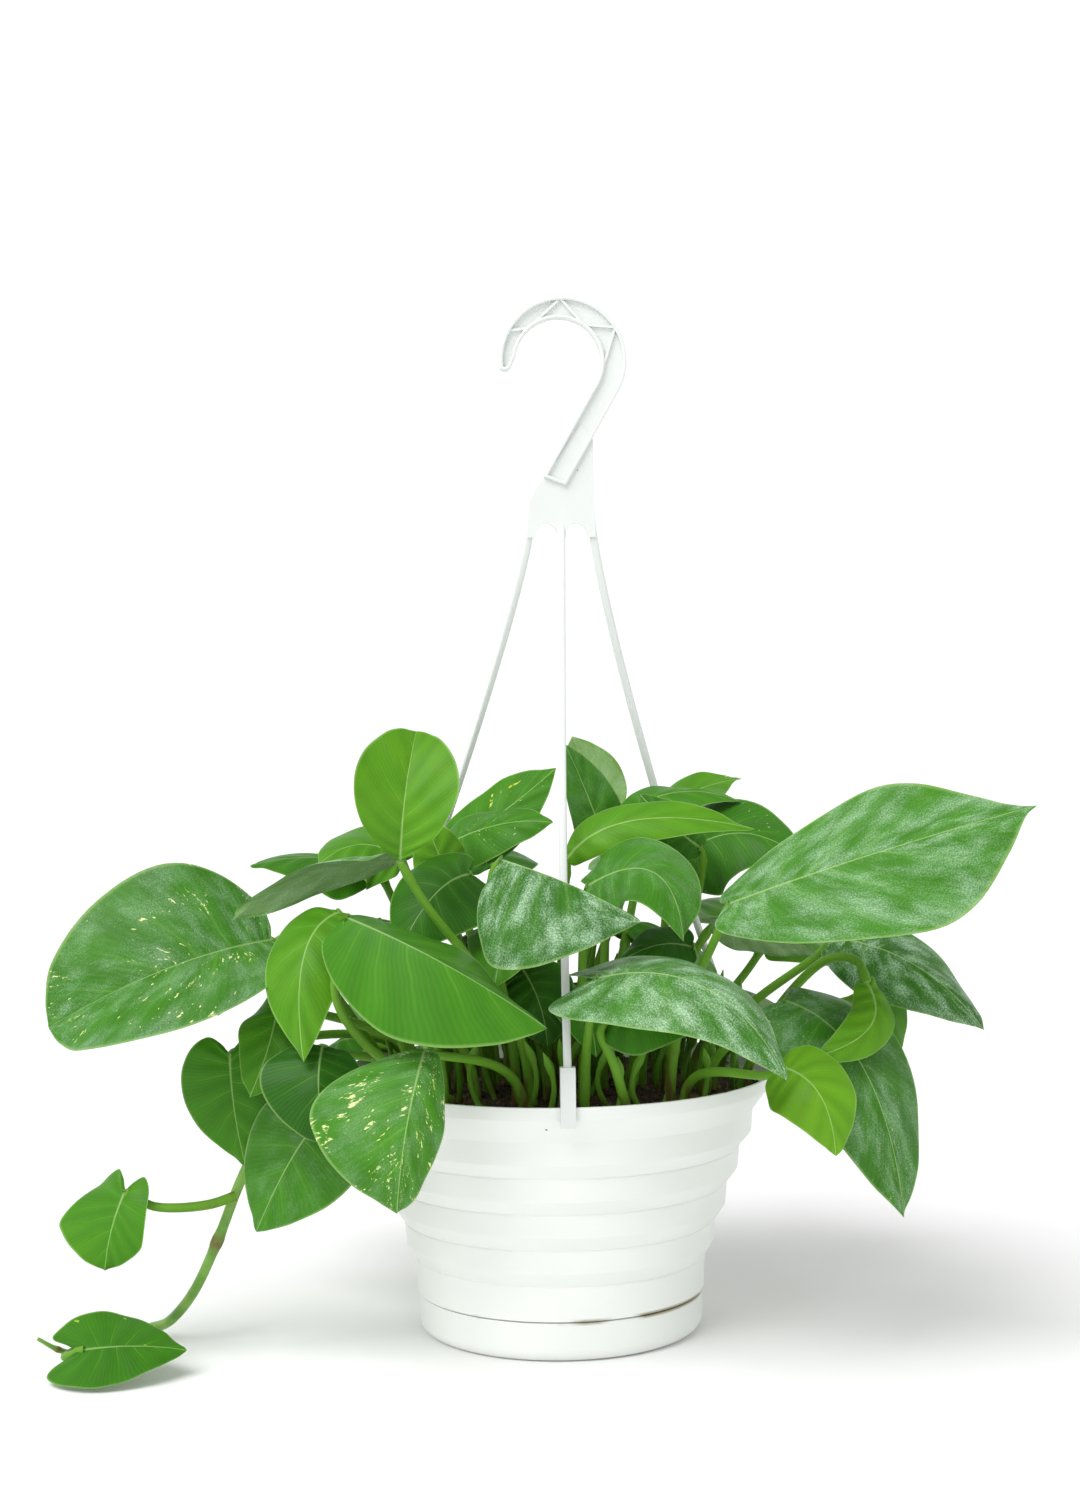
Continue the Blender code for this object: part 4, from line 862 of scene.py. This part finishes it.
def make_leaf(name, spec, seed, finish, replaced=()):
    """A leaf with its stalk as one skin, from the root in the soil to the tip of the blade."""
    traits = LOOKS.get(name) or look(0.20 + 0.4 * ((seed * 37) % 10) / 10, fleck=0.3, patch=0.2)
    rng = np.random.default_rng(seed)
    frames = midrib_frames(spec)
    _, places, along, normal = frames
    base, count = places[0], 4 * HALF_COLUMNS
    left = np.cross(normal[0], along[0])
    backwards = list(reversed(stalk_path(spec, frames)))
    loops, coords = [ring(base, left, normal[0], STALK_RADIUS, count)], [(0, 0.02)]
    side = left
    for i in range(1, len(backwards)):
        share = i / STALK_ROWS
        radius = STALK_RADIUS + (STALK_ROOT_RADIUS - STALK_RADIUS) * share
        radius += 0.55 * math.exp(-((share - 0.07) / 0.03) ** 2)
        ahead = unit(backwards[i - 1] - backwards[min(i + 1, len(backwards) - 1)])
        side = unit(side - ahead * np.dot(side, ahead))
        loops.append(ring(backwards[i], side, np.cross(ahead, side), radius, count))
        coords.append((0, 0.02 + 0.98 * share))
    loops.reverse()
    coords.reverse()

    upper, lower, t, w, flat_x, flat_y = blade_surface(spec, traits, frames, rng)
    blade = round_both_skins(upper, lower)
    ring_w, ring_x, ring_y = (round_both_skins(values, values) for values in (w, flat_x, flat_y))
    under_row = np.concatenate([np.zeros(2 * HALF_COLUMNS + 1), np.ones(2 * HALF_COLUMNS - 1)])

    stalk_points = np.array([p for loop in loops for p in loop])
    tip = places[-1]
    obj = lofted(name + "_leaf", loops + list(blade), tip=tip)
    total = len(obj.data.vertices)
    shares = np.repeat([c[1] for c in coords], count)
    rib = np.zeros((total, 3))
    plan = np.zeros((total, 3))
    under = np.zeros(total)
    first = len(stalk_points)
    last = first + blade.shape[0] * count
    rib[:first, 2] = shares
    plan[:first, 0] = -shares * 0.1
    rib[first:last, 0] = np.repeat(t[:, 0], count)
    rib[first:last, 1] = ring_w.ravel()
    plan[first:last, 0] = ring_x.ravel() * MM
    plan[first:last, 1] = ring_y.ravel() * MM
    under[first:last] = np.tile(under_row, blade.shape[0])
    rib[last:, 0] = 1.0
    plan[last:, 0] = frames[0][-1] * MM
    plan[:, 2] = seed * 3.7
    tone = [traits[key] for key in ("young", "fleck", "silver", "patch")]
    put_attributes(obj.data, rib=rib, plan=plan, under=under, tone=np.tile(tone, (total, 1)))
    return dress(obj, finish, "leaf", *replaced)


def inner_leaf(k):
    """Plan of a small leaf deep in the plant, hidden but for the gaps between the large ones."""
    turn = math.radians(360 * k / INNER_LEAVES + 14 * math.sin(5 * k))
    out = np.array([math.cos(turn), math.sin(turn)])
    low = 150 + 11 * (k % 4)
    base, bend, tip = (out * (30 + 7 * (k % 3))), out * (52 + 5 * (k % 3)), out * (70 + 4 * (k % 4))
    return leaf((*base, low + 10), (*bend, low + 26), (*tip, low - 12), (*(out * 0.8), 0.7),
                36 + 5 * (k % 3), root=tuple(out * 16), cup=-18)


def make_shoots(finish):
    """Old leaf stalks and rolled young leaves that crowd the middle of the pot."""
    verts, faces, shares = [], [], []
    rows, sides = 12, 8
    for k in range(SHOOTS):
        turn, spread = 2.39996 * k, math.sqrt((k + 0.5) / SHOOTS)
        out = np.array([math.cos(turn), math.sin(turn), 0])
        across = np.array([-out[1], out[0], 0])
        root = out * SOIL_RADIUS * 0.93 * spread
        root[2] = SOIL_TOP + soil_height(root[0], root[1]) - 1.0
        height = 26 + 44 * ((0.618 * k) % 1) * (1 - 0.45 * spread ** 2)
        lean, swing = (6 + 14 * ((0.37 * k) % 1)) * (1 - 0.7 * spread), 7 * math.sin(2.1 * k)
        steps = [i / rows for i in range(rows + 1)]
        path = [root + np.array([0, 0, height * t]) + out * lean * t * t
                + across * swing * math.sin(math.pi * t) for t in steps]
        radii = [1.5 - 0.6 * t + 1.1 * math.exp(-((t - 0.80) / 0.10) ** 2) if t < 0.99 else 0.2
                 for t in steps]
        first = len(verts)
        for loop in tube_loops(path, radii, sides, across):
            verts += list(loop)
        for i in range(rows):
            for j in range(sides):
                low, high = first + i * sides, first + (i + 1) * sides
                faces.append((low + j, low + (j + 1) % sides, high + (j + 1) % sides, high + j))
        faces.append(tuple(reversed(range(first, first + sides))))
        faces.append(tuple(range(len(verts) - sides, len(verts))))
        shares += [1 - 0.9 * i / rows for i in range(rows + 1) for _ in range(sides)]
    obj = add_mesh("crowded_shoots", verts, faces)
    total = len(verts)
    rib = np.zeros((total, 3))
    rib[:, 2] = shares
    put_attributes(obj.data, rib=rib, plan=np.tile((0, 0.01, 1.3), (total, 1)), under=np.zeros(total),
                   tone=np.tile((0.3, 0, 0, 0), (total, 1)))
    return dress(obj, finish, "leaf")


# ---- vine ----
def make_vine(finish):
    """The trailing vine, swollen and scarred where its leaves leave it."""
    points = [seated(p) for p in VINE]
    steps = 10 * (len(points) - 1)
    path = [through(points, i / steps) for i in range(steps + 1)]
    radii, scars = [], []
    for i in range(steps + 1):
        at = i / 10
        share = min((steps - i) / 40, 1.0)
        near = max(math.exp(-((at - j) / 0.13) ** 2) for j in VINE_JOINTS)
        radii.append((VINE_TIP_RADIUS + (VINE_RADIUS - 0.35 - VINE_TIP_RADIUS) * share) * (1 + 0.28 * near))
        scars.append(near)
    sides = 16
    obj = lofted("vine_stem", tube_loops(path, radii, sides, np.array([0, 1.0, 0])))
    put_attributes(obj.data, joint=np.repeat(scars, sides))
    return dress(obj, finish, "vine", "trailing_vine")


# ---- pot, saucer and soil ----
def crease_points():
    """Radius and height of the creases between the pot's stepped rings, lowest first."""
    spans = RING_COUNT - 1
    lowest_radius = WAIST_RADIUS + FIRST_BAND_TAPER
    lowest_height = SAUCER_HEIGHT + FIRST_BAND_HEIGHT
    top_height = POT_TOP - LIP_HEIGHT - TOP_FLARE
    slope = (TOP_CREASE_RADIUS - lowest_radius) / spans - CREASE_CURVE * spans
    return [(lowest_radius + slope * k + CREASE_CURVE * k * k,
             lowest_height + (top_height - lowest_height) * k / spans) for k in range(RING_COUNT)]


def make_pot(finish):
    """The moulded pot: stepped rings, a rolled lip and drain holes in its floor."""
    creases = crease_points()
    shoulder = SAUCER_HEIGHT + SEAM
    outside = [(WAIST_RADIUS, shoulder)]
    for (radius, height), (next_radius, _) in zip(creases, creases[1:]):
        outside += [(radius, height - 0.5), (radius - 0.45, height), (radius + 0.25, height + 0.6),
                    (next_radius - BAND_TAPER, height + RING_FLARE)]
    outside += [creases[-1], (RIM_RADIUS - LIP_TAPER, POT_TOP - LIP_HEIGHT)]
    inside = [(radius - WALL, height) for radius, height in reversed(outside[1:])]
    floor_radius = WAIST_RADIUS - 0.8 - WALL - 2 * GAP
    lip = [(RIM_RADIUS, POT_TOP), (RIM_RADIUS - WALL, POT_TOP)]
    foot = [(0, FLOOR_HEIGHT), (floor_radius - WALL, FLOOR_HEIGHT), (floor_radius, FLOOR_HEIGHT + WALL),
            (floor_radius, shoulder)]
    basin = [(WAIST_RADIUS - WALL, shoulder + 2 * WALL), (floor_radius - WALL, shoulder + WALL),
             (floor_radius - WALL, FLOOR_HEIGHT + 2 * WALL), (floor_radius - 2 * WALL, FLOOR_HEIGHT + WALL),
             (0, FLOOR_HEIGHT + WALL)]
    pot = turned("ringed_pot", rounded(foot + outside + lip + inside + basin, 0.45))
    drills = []
    for i in range(DRAIN_COUNT):
        turn = 2 * math.pi * (i + 0.2) / DRAIN_COUNT
        drill = turned("drill", [(0, 0), (DRAIN_RADIUS, 0), (DRAIN_RADIUS, 2 * FLOOR_HEIGHT),
                                 (0, 2 * FLOOR_HEIGHT)], sides=24)
        drill.location = (*(c * MM for c in polar(DRAIN_CIRCLE, turn)), 0)
        drills.append(drill)
    return dress(boolean(pot, drills, "DIFFERENCE"), finish, "pot_plastic", "pot")


def make_saucer(finish):
    outer, inner = SAUCER_RADIUS, SAUCER_RADIUS - WALL
    fillet = [(outer - FOOT_FILLET * (1 - math.sin(turn)), FOOT_FILLET * (1 - math.cos(turn)))
              for turn in (math.pi / 2 * i / 8 for i in range(9))]
    saddle_top = FLOOR_HEIGHT - GAP
    out, inn = SADDLE_RADIUS + SADDLE_WIDTH / 2, SADDLE_RADIUS - SADDLE_WIDTH / 2
    profile = [(0, 0)] + fillet + [
        (outer, SAUCER_HEIGHT), (inner, SAUCER_HEIGHT), (inner, FOOT_FILLET),
        (inner - FOOT_FILLET + WALL, WALL), (out, WALL), (out, saddle_top), (inn, saddle_top), (inn, WALL),
        (0, WALL)]
    return dress(turned("clip_on_saucer", rounded(profile, 0.4)), finish, "saucer_plastic", "drip_saucer")


def soil_height(x, y):
    """Lumps of the soil's surface, in millimetres below its crown."""
    radius = math.hypot(x, y) / SOIL_RADIUS
    lumps = (math.sin(0.21 * x + 0.9) * math.cos(0.17 * y + 0.4) + 0.6 * math.sin(0.43 * x - 0.31 * y)
             + 0.4 * math.cos(0.77 * y + 0.52 * x))
    return -2.0 * radius ** 2 - 0.8 + 0.7 * lumps * (1 - radius ** 6)


def make_soil(finish):
    """Soil with a lumpy crown, cut off below where the pot hides it."""
    rings, sides = 26, 96
    verts = [(0, 0, SOIL_TOP + soil_height(0, 0))]
    for i in range(1, rings + 1):
        level = circle(SOIL_RADIUS * i / rings, 0, sides)
        verts += [(x, y, SOIL_TOP + soil_height(x, y)) for x, y, _ in level]
    skirt = crease_points()[-1]
    for radius, height in ((skirt[0] - WALL - 2 * GAP, skirt[1]), (WAIST_RADIUS - 8, SOIL_BED + 20),
                           (WAIST_RADIUS - 12, SOIL_BED)):
        verts += circle(radius, height, sides)
    verts.append((0, 0, SOIL_BED))
    faces = [(0, 1 + j, 1 + (j + 1) % sides) for j in range(sides)]
    total_rings = rings + 3
    for i in range(total_rings - 1):
        low, high = 1 + i * sides, 1 + (i + 1) * sides
        faces += [(low + j, high + j, high + (j + 1) % sides, low + (j + 1) % sides) for j in range(sides)]
    end = 1 + (total_rings - 1) * sides
    faces += [(end + j, len(verts) - 1, end + (j + 1) % sides) for j in range(sides)]
    return dress(add_mesh("soil_bed", verts, faces), finish, "potting_soil", "soil")


def crumb_tree(finish):
    """Geometry nodes: strew rough crumbs over the upward faces of a surface."""
    tree = bpy.data.node_groups.new("strew_crumbs", "GeometryNodeTree")
    for name, way, kind in (("Surface", "INPUT", "Geometry"), ("Density", "INPUT", "Float"),
                            ("Crumb Size", "INPUT", "Float"), ("Crumbs", "OUTPUT", "Geometry")):
        tree.interface.new_socket(name, in_out=way, socket_type="NodeSocket" + kind)
    inlet = add_node(tree, "NodeGroupInput")
    normal = add_node(tree, "GeometryNodeInputNormal")[0]
    rise = add_node(tree, "ShaderNodeSeparateXYZ", (normal,))[2]
    up = add_node(tree, "ShaderNodeMath", (rise, 0.6), operation="GREATER_THAN")[0]
    points = add_node(tree, "GeometryNodeDistributePointsOnFaces", {
        "Mesh": inlet["Surface"], "Selection": up, "Density": inlet["Density"], "Seed": 11})["Points"]
    crumb = add_node(tree, "GeometryNodeMeshIcoSphere", {
        "Subdivisions": 2, "Radius": inlet["Crumb Size"]})["Mesh"]
    size, turn = (
        add_node(tree, "FunctionNodeRandomValue", {0: low, 1: high, "Seed": seed},
                 data_type="FLOAT_VECTOR")[0]
        for low, high, seed in (((0.4, 0.4, 0.3), (1.5, 1.1, 0.8), 3), ((0, 0, 0), (6, 6, 6), 5)))
    strewn = add_node(tree, "GeometryNodeInstanceOnPoints", {
        "Points": points, "Instance": crumb, "Rotation": turn, "Scale": size})[0]
    real = add_node(tree, "GeometryNodeRealizeInstances", (strewn,))[0]
    painted = add_node(tree, "GeometryNodeSetMaterial", {"Geometry": real, "Material": finish})[0]
    add_node(tree, "NodeGroupOutput", (painted,))
    return tree


def make_crumbs(soil, finish):
    """Bark and peat crumbs strewn over the soil."""
    obj = put_in_scene("soil_crumbs", soil.data.copy())
    modifier = obj.modifiers.new("strew", "NODES")
    modifier.node_group = crumb_tree(finish)
    amounts = {"Density": CRUMB_DENSITY, "Crumb Size": CRUMB_SIZE}
    for item in modifier.node_group.interface.items_tree:
        if item.name in amounts:
            modifier[item.identifier] = amounts[item.name]
    bake(obj)
    obj.data.shade_smooth()
    return dress(obj, finish, "potting_soil")


# ---- hanger ----
def arc(centre, radius, start, end, count):
    turns = [math.radians(start + (end - start) * i / (count - 1)) for i in range(count)]
    return [(centre[0] + radius * math.cos(turn), centre[1] + radius * math.sin(turn)) for turn in turns]


def hook_centres():
    outer = (HOOK_CENTRE_X, HOOK_TOP - HOOK_OUTER_RADIUS)
    return outer, (outer[0] + EYE_OFFSET[0], outer[1] + EYE_OFFSET[1])


def hook_outline():
    """Front view of the hook and its shank, anticlockwise."""
    outer, eye = hook_centres()
    lean = math.radians(SHANK_LEAN)
    run = (-math.sin(lean) * SHANK_LENGTH, -math.cos(lean) * SHANK_LENGTH)
    back = arc(outer, HOOK_OUTER_RADIUS, -SHANK_LEAN, 187, 61)
    front = arc(eye, EYE_RADIUS, 172, -SHANK_LEAN, 49)
    tip_x, tip_z = back[-1]
    tip = [(tip_x + 1.6, tip_z - 0.9), (tip_x + 3.6, tip_z - 0.7), (tip_x + 5.0, tip_z + 0.6)]
    foot = [(front[-1][0] + run[0], front[-1][1] + run[1]), (back[0][0] + run[0], back[0][1] + run[1])]
    return back + tip + front + foot


def inset(outline, distance):
    """The outline moved inwards by a distance, each corner mitred."""
    moved = []
    count = len(outline)
    for i, (x, z) in enumerate(outline):
        ax, az = outline[i - 1]
        bx, bz = outline[(i + 1) % count]
        first, second = unit((x - ax, z - az)), unit((bx - x, bz - z))
        normal = unit((-(first[1] + second[1]), first[0] + second[0]))
        mitre = max(normal[0] * -first[1] + normal[1] * first[0], 0.5)
        moved.append((x + normal[0] * distance / mitre, z + normal[1] * distance / mitre))
    return moved


def make_flange(outline):
    """The raised edge round the hook, rounded off along its outer corners."""
    inner = inset(outline, FLANGE_WIDTH)
    half, ease = HOOK_DEPTH / 2, 0.35
    section = [(0.0, -half + ease), (ease, -half), (1 - ease, -half), (1, -half + ease),
               (1, half - ease), (1 - ease, half), (ease, half), (0.0, half - ease)]
    verts = []
    for (x, z), (inner_x, inner_z) in zip(outline, inner):
        verts += [(x + (inner_x - x) * share, y, z + (inner_z - z) * share) for share, y in section]
    count, ring_size = len(outline), len(section)
    faces = []
    for i in range(count):
        j = (i + 1) % count
        for k in range(ring_size):
            m = (k + 1) % ring_size
            faces.append((ring_size * i + k, ring_size * j + k, ring_size * j + m, ring_size * i + m))
    return add_mesh("flange", verts, faces)


def bar(start, end):
    ahead = unit((end[0] - start[0], end[1] - start[1]))
    half = RIB_WIDTH / 2
    side = (-ahead[1] * half, ahead[0] * half)
    outline = [(start[0] + side[0], start[1] + side[1]), (start[0] - side[0], start[1] - side[1]),
               (end[0] - side[0], end[1] - side[1]), (end[0] + side[0], end[1] + side[1])]
    return extruded("rib", outline, RIB_DEPTH)


def make_ribs():
    outer, eye = hook_centres()
    reach_out, reach_in = HOOK_OUTER_RADIUS - FLANGE_WIDTH / 2, EYE_RADIUS + FLANGE_WIDTH / 2
    nodes = []
    for side, angle in RIB_NODES:
        centre, radius = (outer, reach_out) if side == "back" else (eye, reach_in)
        nodes.append(arc(centre, radius, angle, angle, 2)[0])
    return [bar(a, b) for a, b in zip(nodes, nodes[1:])]


def plate_outline():
    """The flat plate under the hook; its lower edge has an arch between each two strands."""
    left, right = PLATE_LEFT, PLATE_RIGHT
    bottom = HOOK_TOP - PLATE_DROP
    foot = bottom - ARCH_HEIGHT
    middle = (left + right) / 2
    points = [(left, foot), (left + LEG_WIDTH, foot)]
    arches = ((left + LEG_WIDTH, middle - LEG_WIDTH / 2), (middle + LEG_WIDTH / 2, right - LEG_WIDTH))
    for start, end in arches:
        for i in range(1, 14):
            turn = math.pi * i / 14
            points.append(((start + end) / 2 - (end - start) / 2 * math.cos(turn),
                           foot + ARCH_HEIGHT * math.sin(turn)))
        points.append((end, foot))
        if end < right - LEG_WIDTH:
            points.append((middle + LEG_WIDTH / 2, foot))
    points.append((right, foot))
    points += [(right - inward, bottom + rise) for inward, rise in PLATE_RIGHT_EDGE]
    points += [(PLATE_NECK_RIGHT, bottom + PLATE_HEIGHT), (PLATE_NECK_LEFT, bottom + PLATE_SHOULDER)]
    points += [(left + inward, bottom + rise) for inward, rise in PLATE_LEFT_EDGE]
    return points


def make_strand(azimuth, start_x):
    turn = math.radians(azimuth)
    out = np.array([math.cos(turn), math.sin(turn), 0])
    across = np.array([-out[1], out[0], 0])
    if across[0] < 0:
        across = -across
    clip_radius = RIM_RADIUS - WALL / 2
    top = np.array([start_x, 0, HOOK_TOP - PLATE_DROP + STRAND_SUNK])
    end = out * clip_radius + np.array([0, 0, POT_TOP + CLIP_RISE - 3])
    drop = top[2] - end[2]
    control = [top, top + out * 2.5 - np.array([0, 0, drop * 0.12]),
               out * clip_radius * STRAND_BELLY + np.array([0, 0, end[2] + drop * 0.44]), end]
    section = [[math.copysign(abs(c) ** 0.6, c) for c in polar(1.0, 2 * math.pi * (i + 0.5) / 16)]
               for i in range(16)]
    loops = []
    for i in range(STRAND_ROWS + 1):
        t = i / STRAND_ROWS
        centre = bezier(control, t)
        along = unit(bezier(control, min(t + 0.01, 1)) - bezier(control, max(t - 0.01, 0)))
        side = unit(np.array([1.0, 0, 0]) * (1 - t) + across * t)
        side = unit(side - along * np.dot(side, along))
        depth = np.cross(along, side)
        loops.append([centre - side * x * STRAND_WIDTH / 2 + depth * y * STRAND_DEPTH / 2
                      for x, y in section])
    return lofted("strand", loops)


def make_clip(azimuth):
    """A clip that straddles the lip: a block above the rim with a prong on each side."""
    over = POT_TOP + GAP
    low = POT_TOP - LIP_HEIGHT
    top = POT_TOP + CLIP_RISE
    outside = RIM_RADIUS + GAP + PRONG
    grip = RIM_RADIUS - WALL - CLIP_SLACK
    inside = grip - LIP_TAPER - PRONG
    outline = [(outside, low), (outside, top - 3), (outside - 1.2, top), (inside + 2.2, top),
               (inside + 1.0, top - 3), (inside, over), (inside, low + 1), (inside + 1, low),
               (grip - LIP_TAPER, low), (grip, over), (outside - PRONG, over),
               (outside - PRONG, low - GAP), (outside - PRONG - BARB, low - GAP - BARB),
               (outside - 1.2, low - CLIP_TAIL)]
    clip = extruded("clip", outline, CLIP_WIDTH)
    clip.rotation_euler = (0, 0, math.radians(azimuth))
    return clip


def make_hanger(finish):
    """Hook, plate, strands and rim clips, joined into one moulding."""
    outline = hook_outline()
    middle = (PLATE_LEFT + PLATE_RIGHT) / 2
    ends = [(-90.0, middle), (150.0, PLATE_LEFT + LEG_WIDTH / 2), (30.0, PLATE_RIGHT - LEG_WIDTH / 2)]
    pieces = [make_flange(outline)] + make_ribs() + [extruded("plate", plate_outline(), PLATE_DEPTH)]
    for azimuth, start_x in ends:
        pieces += [make_strand(azimuth, start_x), make_clip(azimuth)]
    hanger = boolean(extruded("hook_hanger", inset(outline, FLANGE_WIDTH / 2), WEB_DEPTH), pieces, "UNION")
    hanger.data.transform(Matrix.Rotation(math.radians(HANGER_TURN), 4, "Z"))
    hanger.data.shade_smooth()
    hanger.data.set_sharp_from_angle(angle=math.radians(35))
    return dress(hanger, finish, "hanger_plastic", "hanger")


# ---- stage ----
def make_camera():
    data = bpy.data.cameras.new("camera")
    data.sensor_width = 36.0
    data.lens = CAMERA_LENS
    camera = put_in_scene("camera", data)
    camera.matrix_world = (Matrix.Translation(CAMERA_PLACE)
                           @ Matrix.Rotation(math.radians(90 - CAMERA_TILT), 4, "X")
                           @ Matrix.Rotation(math.radians(CAMERA_ROLL), 4, "Z"))
    bpy.context.scene.camera = camera


def make_key():
    """One broad soft light from the upper left, as even on the far ground as on the near."""
    data = bpy.data.lights.new("key_light", "SUN")
    data.energy = KEY_STRENGTH
    data.angle = KEY_SOFTNESS
    put_in_scene("key_light", data).rotation_euler = Vector(KEY_SOURCE).to_track_quat("Z", "Y").to_euler()


def make_stage():
    """A pale floor, and surroundings that are brightest at eye level."""
    reach = FLOOR_REACH
    corners = [(-reach, -reach, 0), (reach, -reach, 0), (reach, reach, 0), (-reach, reach, 0)]
    floor = add_mesh("floor", corners, [(0, 1, 2, 3)])
    f = Finish("pale_floor", 0.8)
    colour = f.mix(f.noise(f.place(), 3.0), (0.93, 0.93, 0.93), (0.95, 0.95, 0.95))
    floor.data.materials.append(f.done(colour))
    world = bpy.data.worlds.new("studio")
    world.use_nodes = True
    tree = world.node_tree
    direction = add_node(tree, "ShaderNodeTexCoord")["Generated"]
    height = add_node(tree, "ShaderNodeSeparateXYZ", (direction,))["Z"]
    glow = add_node(tree, "ShaderNodeMapRange", (height, 0.30, 0.60, HORIZON_GLOW, ZENITH_GLOW),
                    interpolation_type="SMOOTHSTEP")[0]
    plug(tree, glow, tree.nodes["Background"].inputs["Strength"])
    plug(tree, (1, 1, 1, 1), tree.nodes["Background"].inputs["Color"])
    bpy.context.scene.world = world
    bpy.context.scene.view_settings.view_transform = "Standard"
    make_key()


# ---- the model ----
make_camera()
make_stage()

white = plastic_finish("pot_white_plastic", (0.86, 0.88, 0.85), SAUCER_HEIGHT + SEAM, rings=900.0)
saucer_white = plastic_finish("saucer_white_plastic", (0.84, 0.86, 0.83), SAUCER_HEIGHT)
hanger_white = plastic_finish("hanger_white_plastic", (0.74, 0.77, 0.75))
make_pot(white)
make_saucer(saucer_white)
make_hanger(hanger_white)
soil = make_soil(soil_finish())
make_crumbs(soil, bark_finish())
make_vine(vine_finish())
leaf_green = leaf_finish()
for seed, (name, spec) in enumerate({**LEAVES, **VINE_LEAVES}.items(), start=1):
    make_leaf(name, spec, seed, leaf_green, replaced=(name,))
for k in range(INNER_LEAVES):
    make_leaf(f"inner_{k}", inner_leaf(k), 80 + k, leaf_green)
make_shoots(leaf_green)
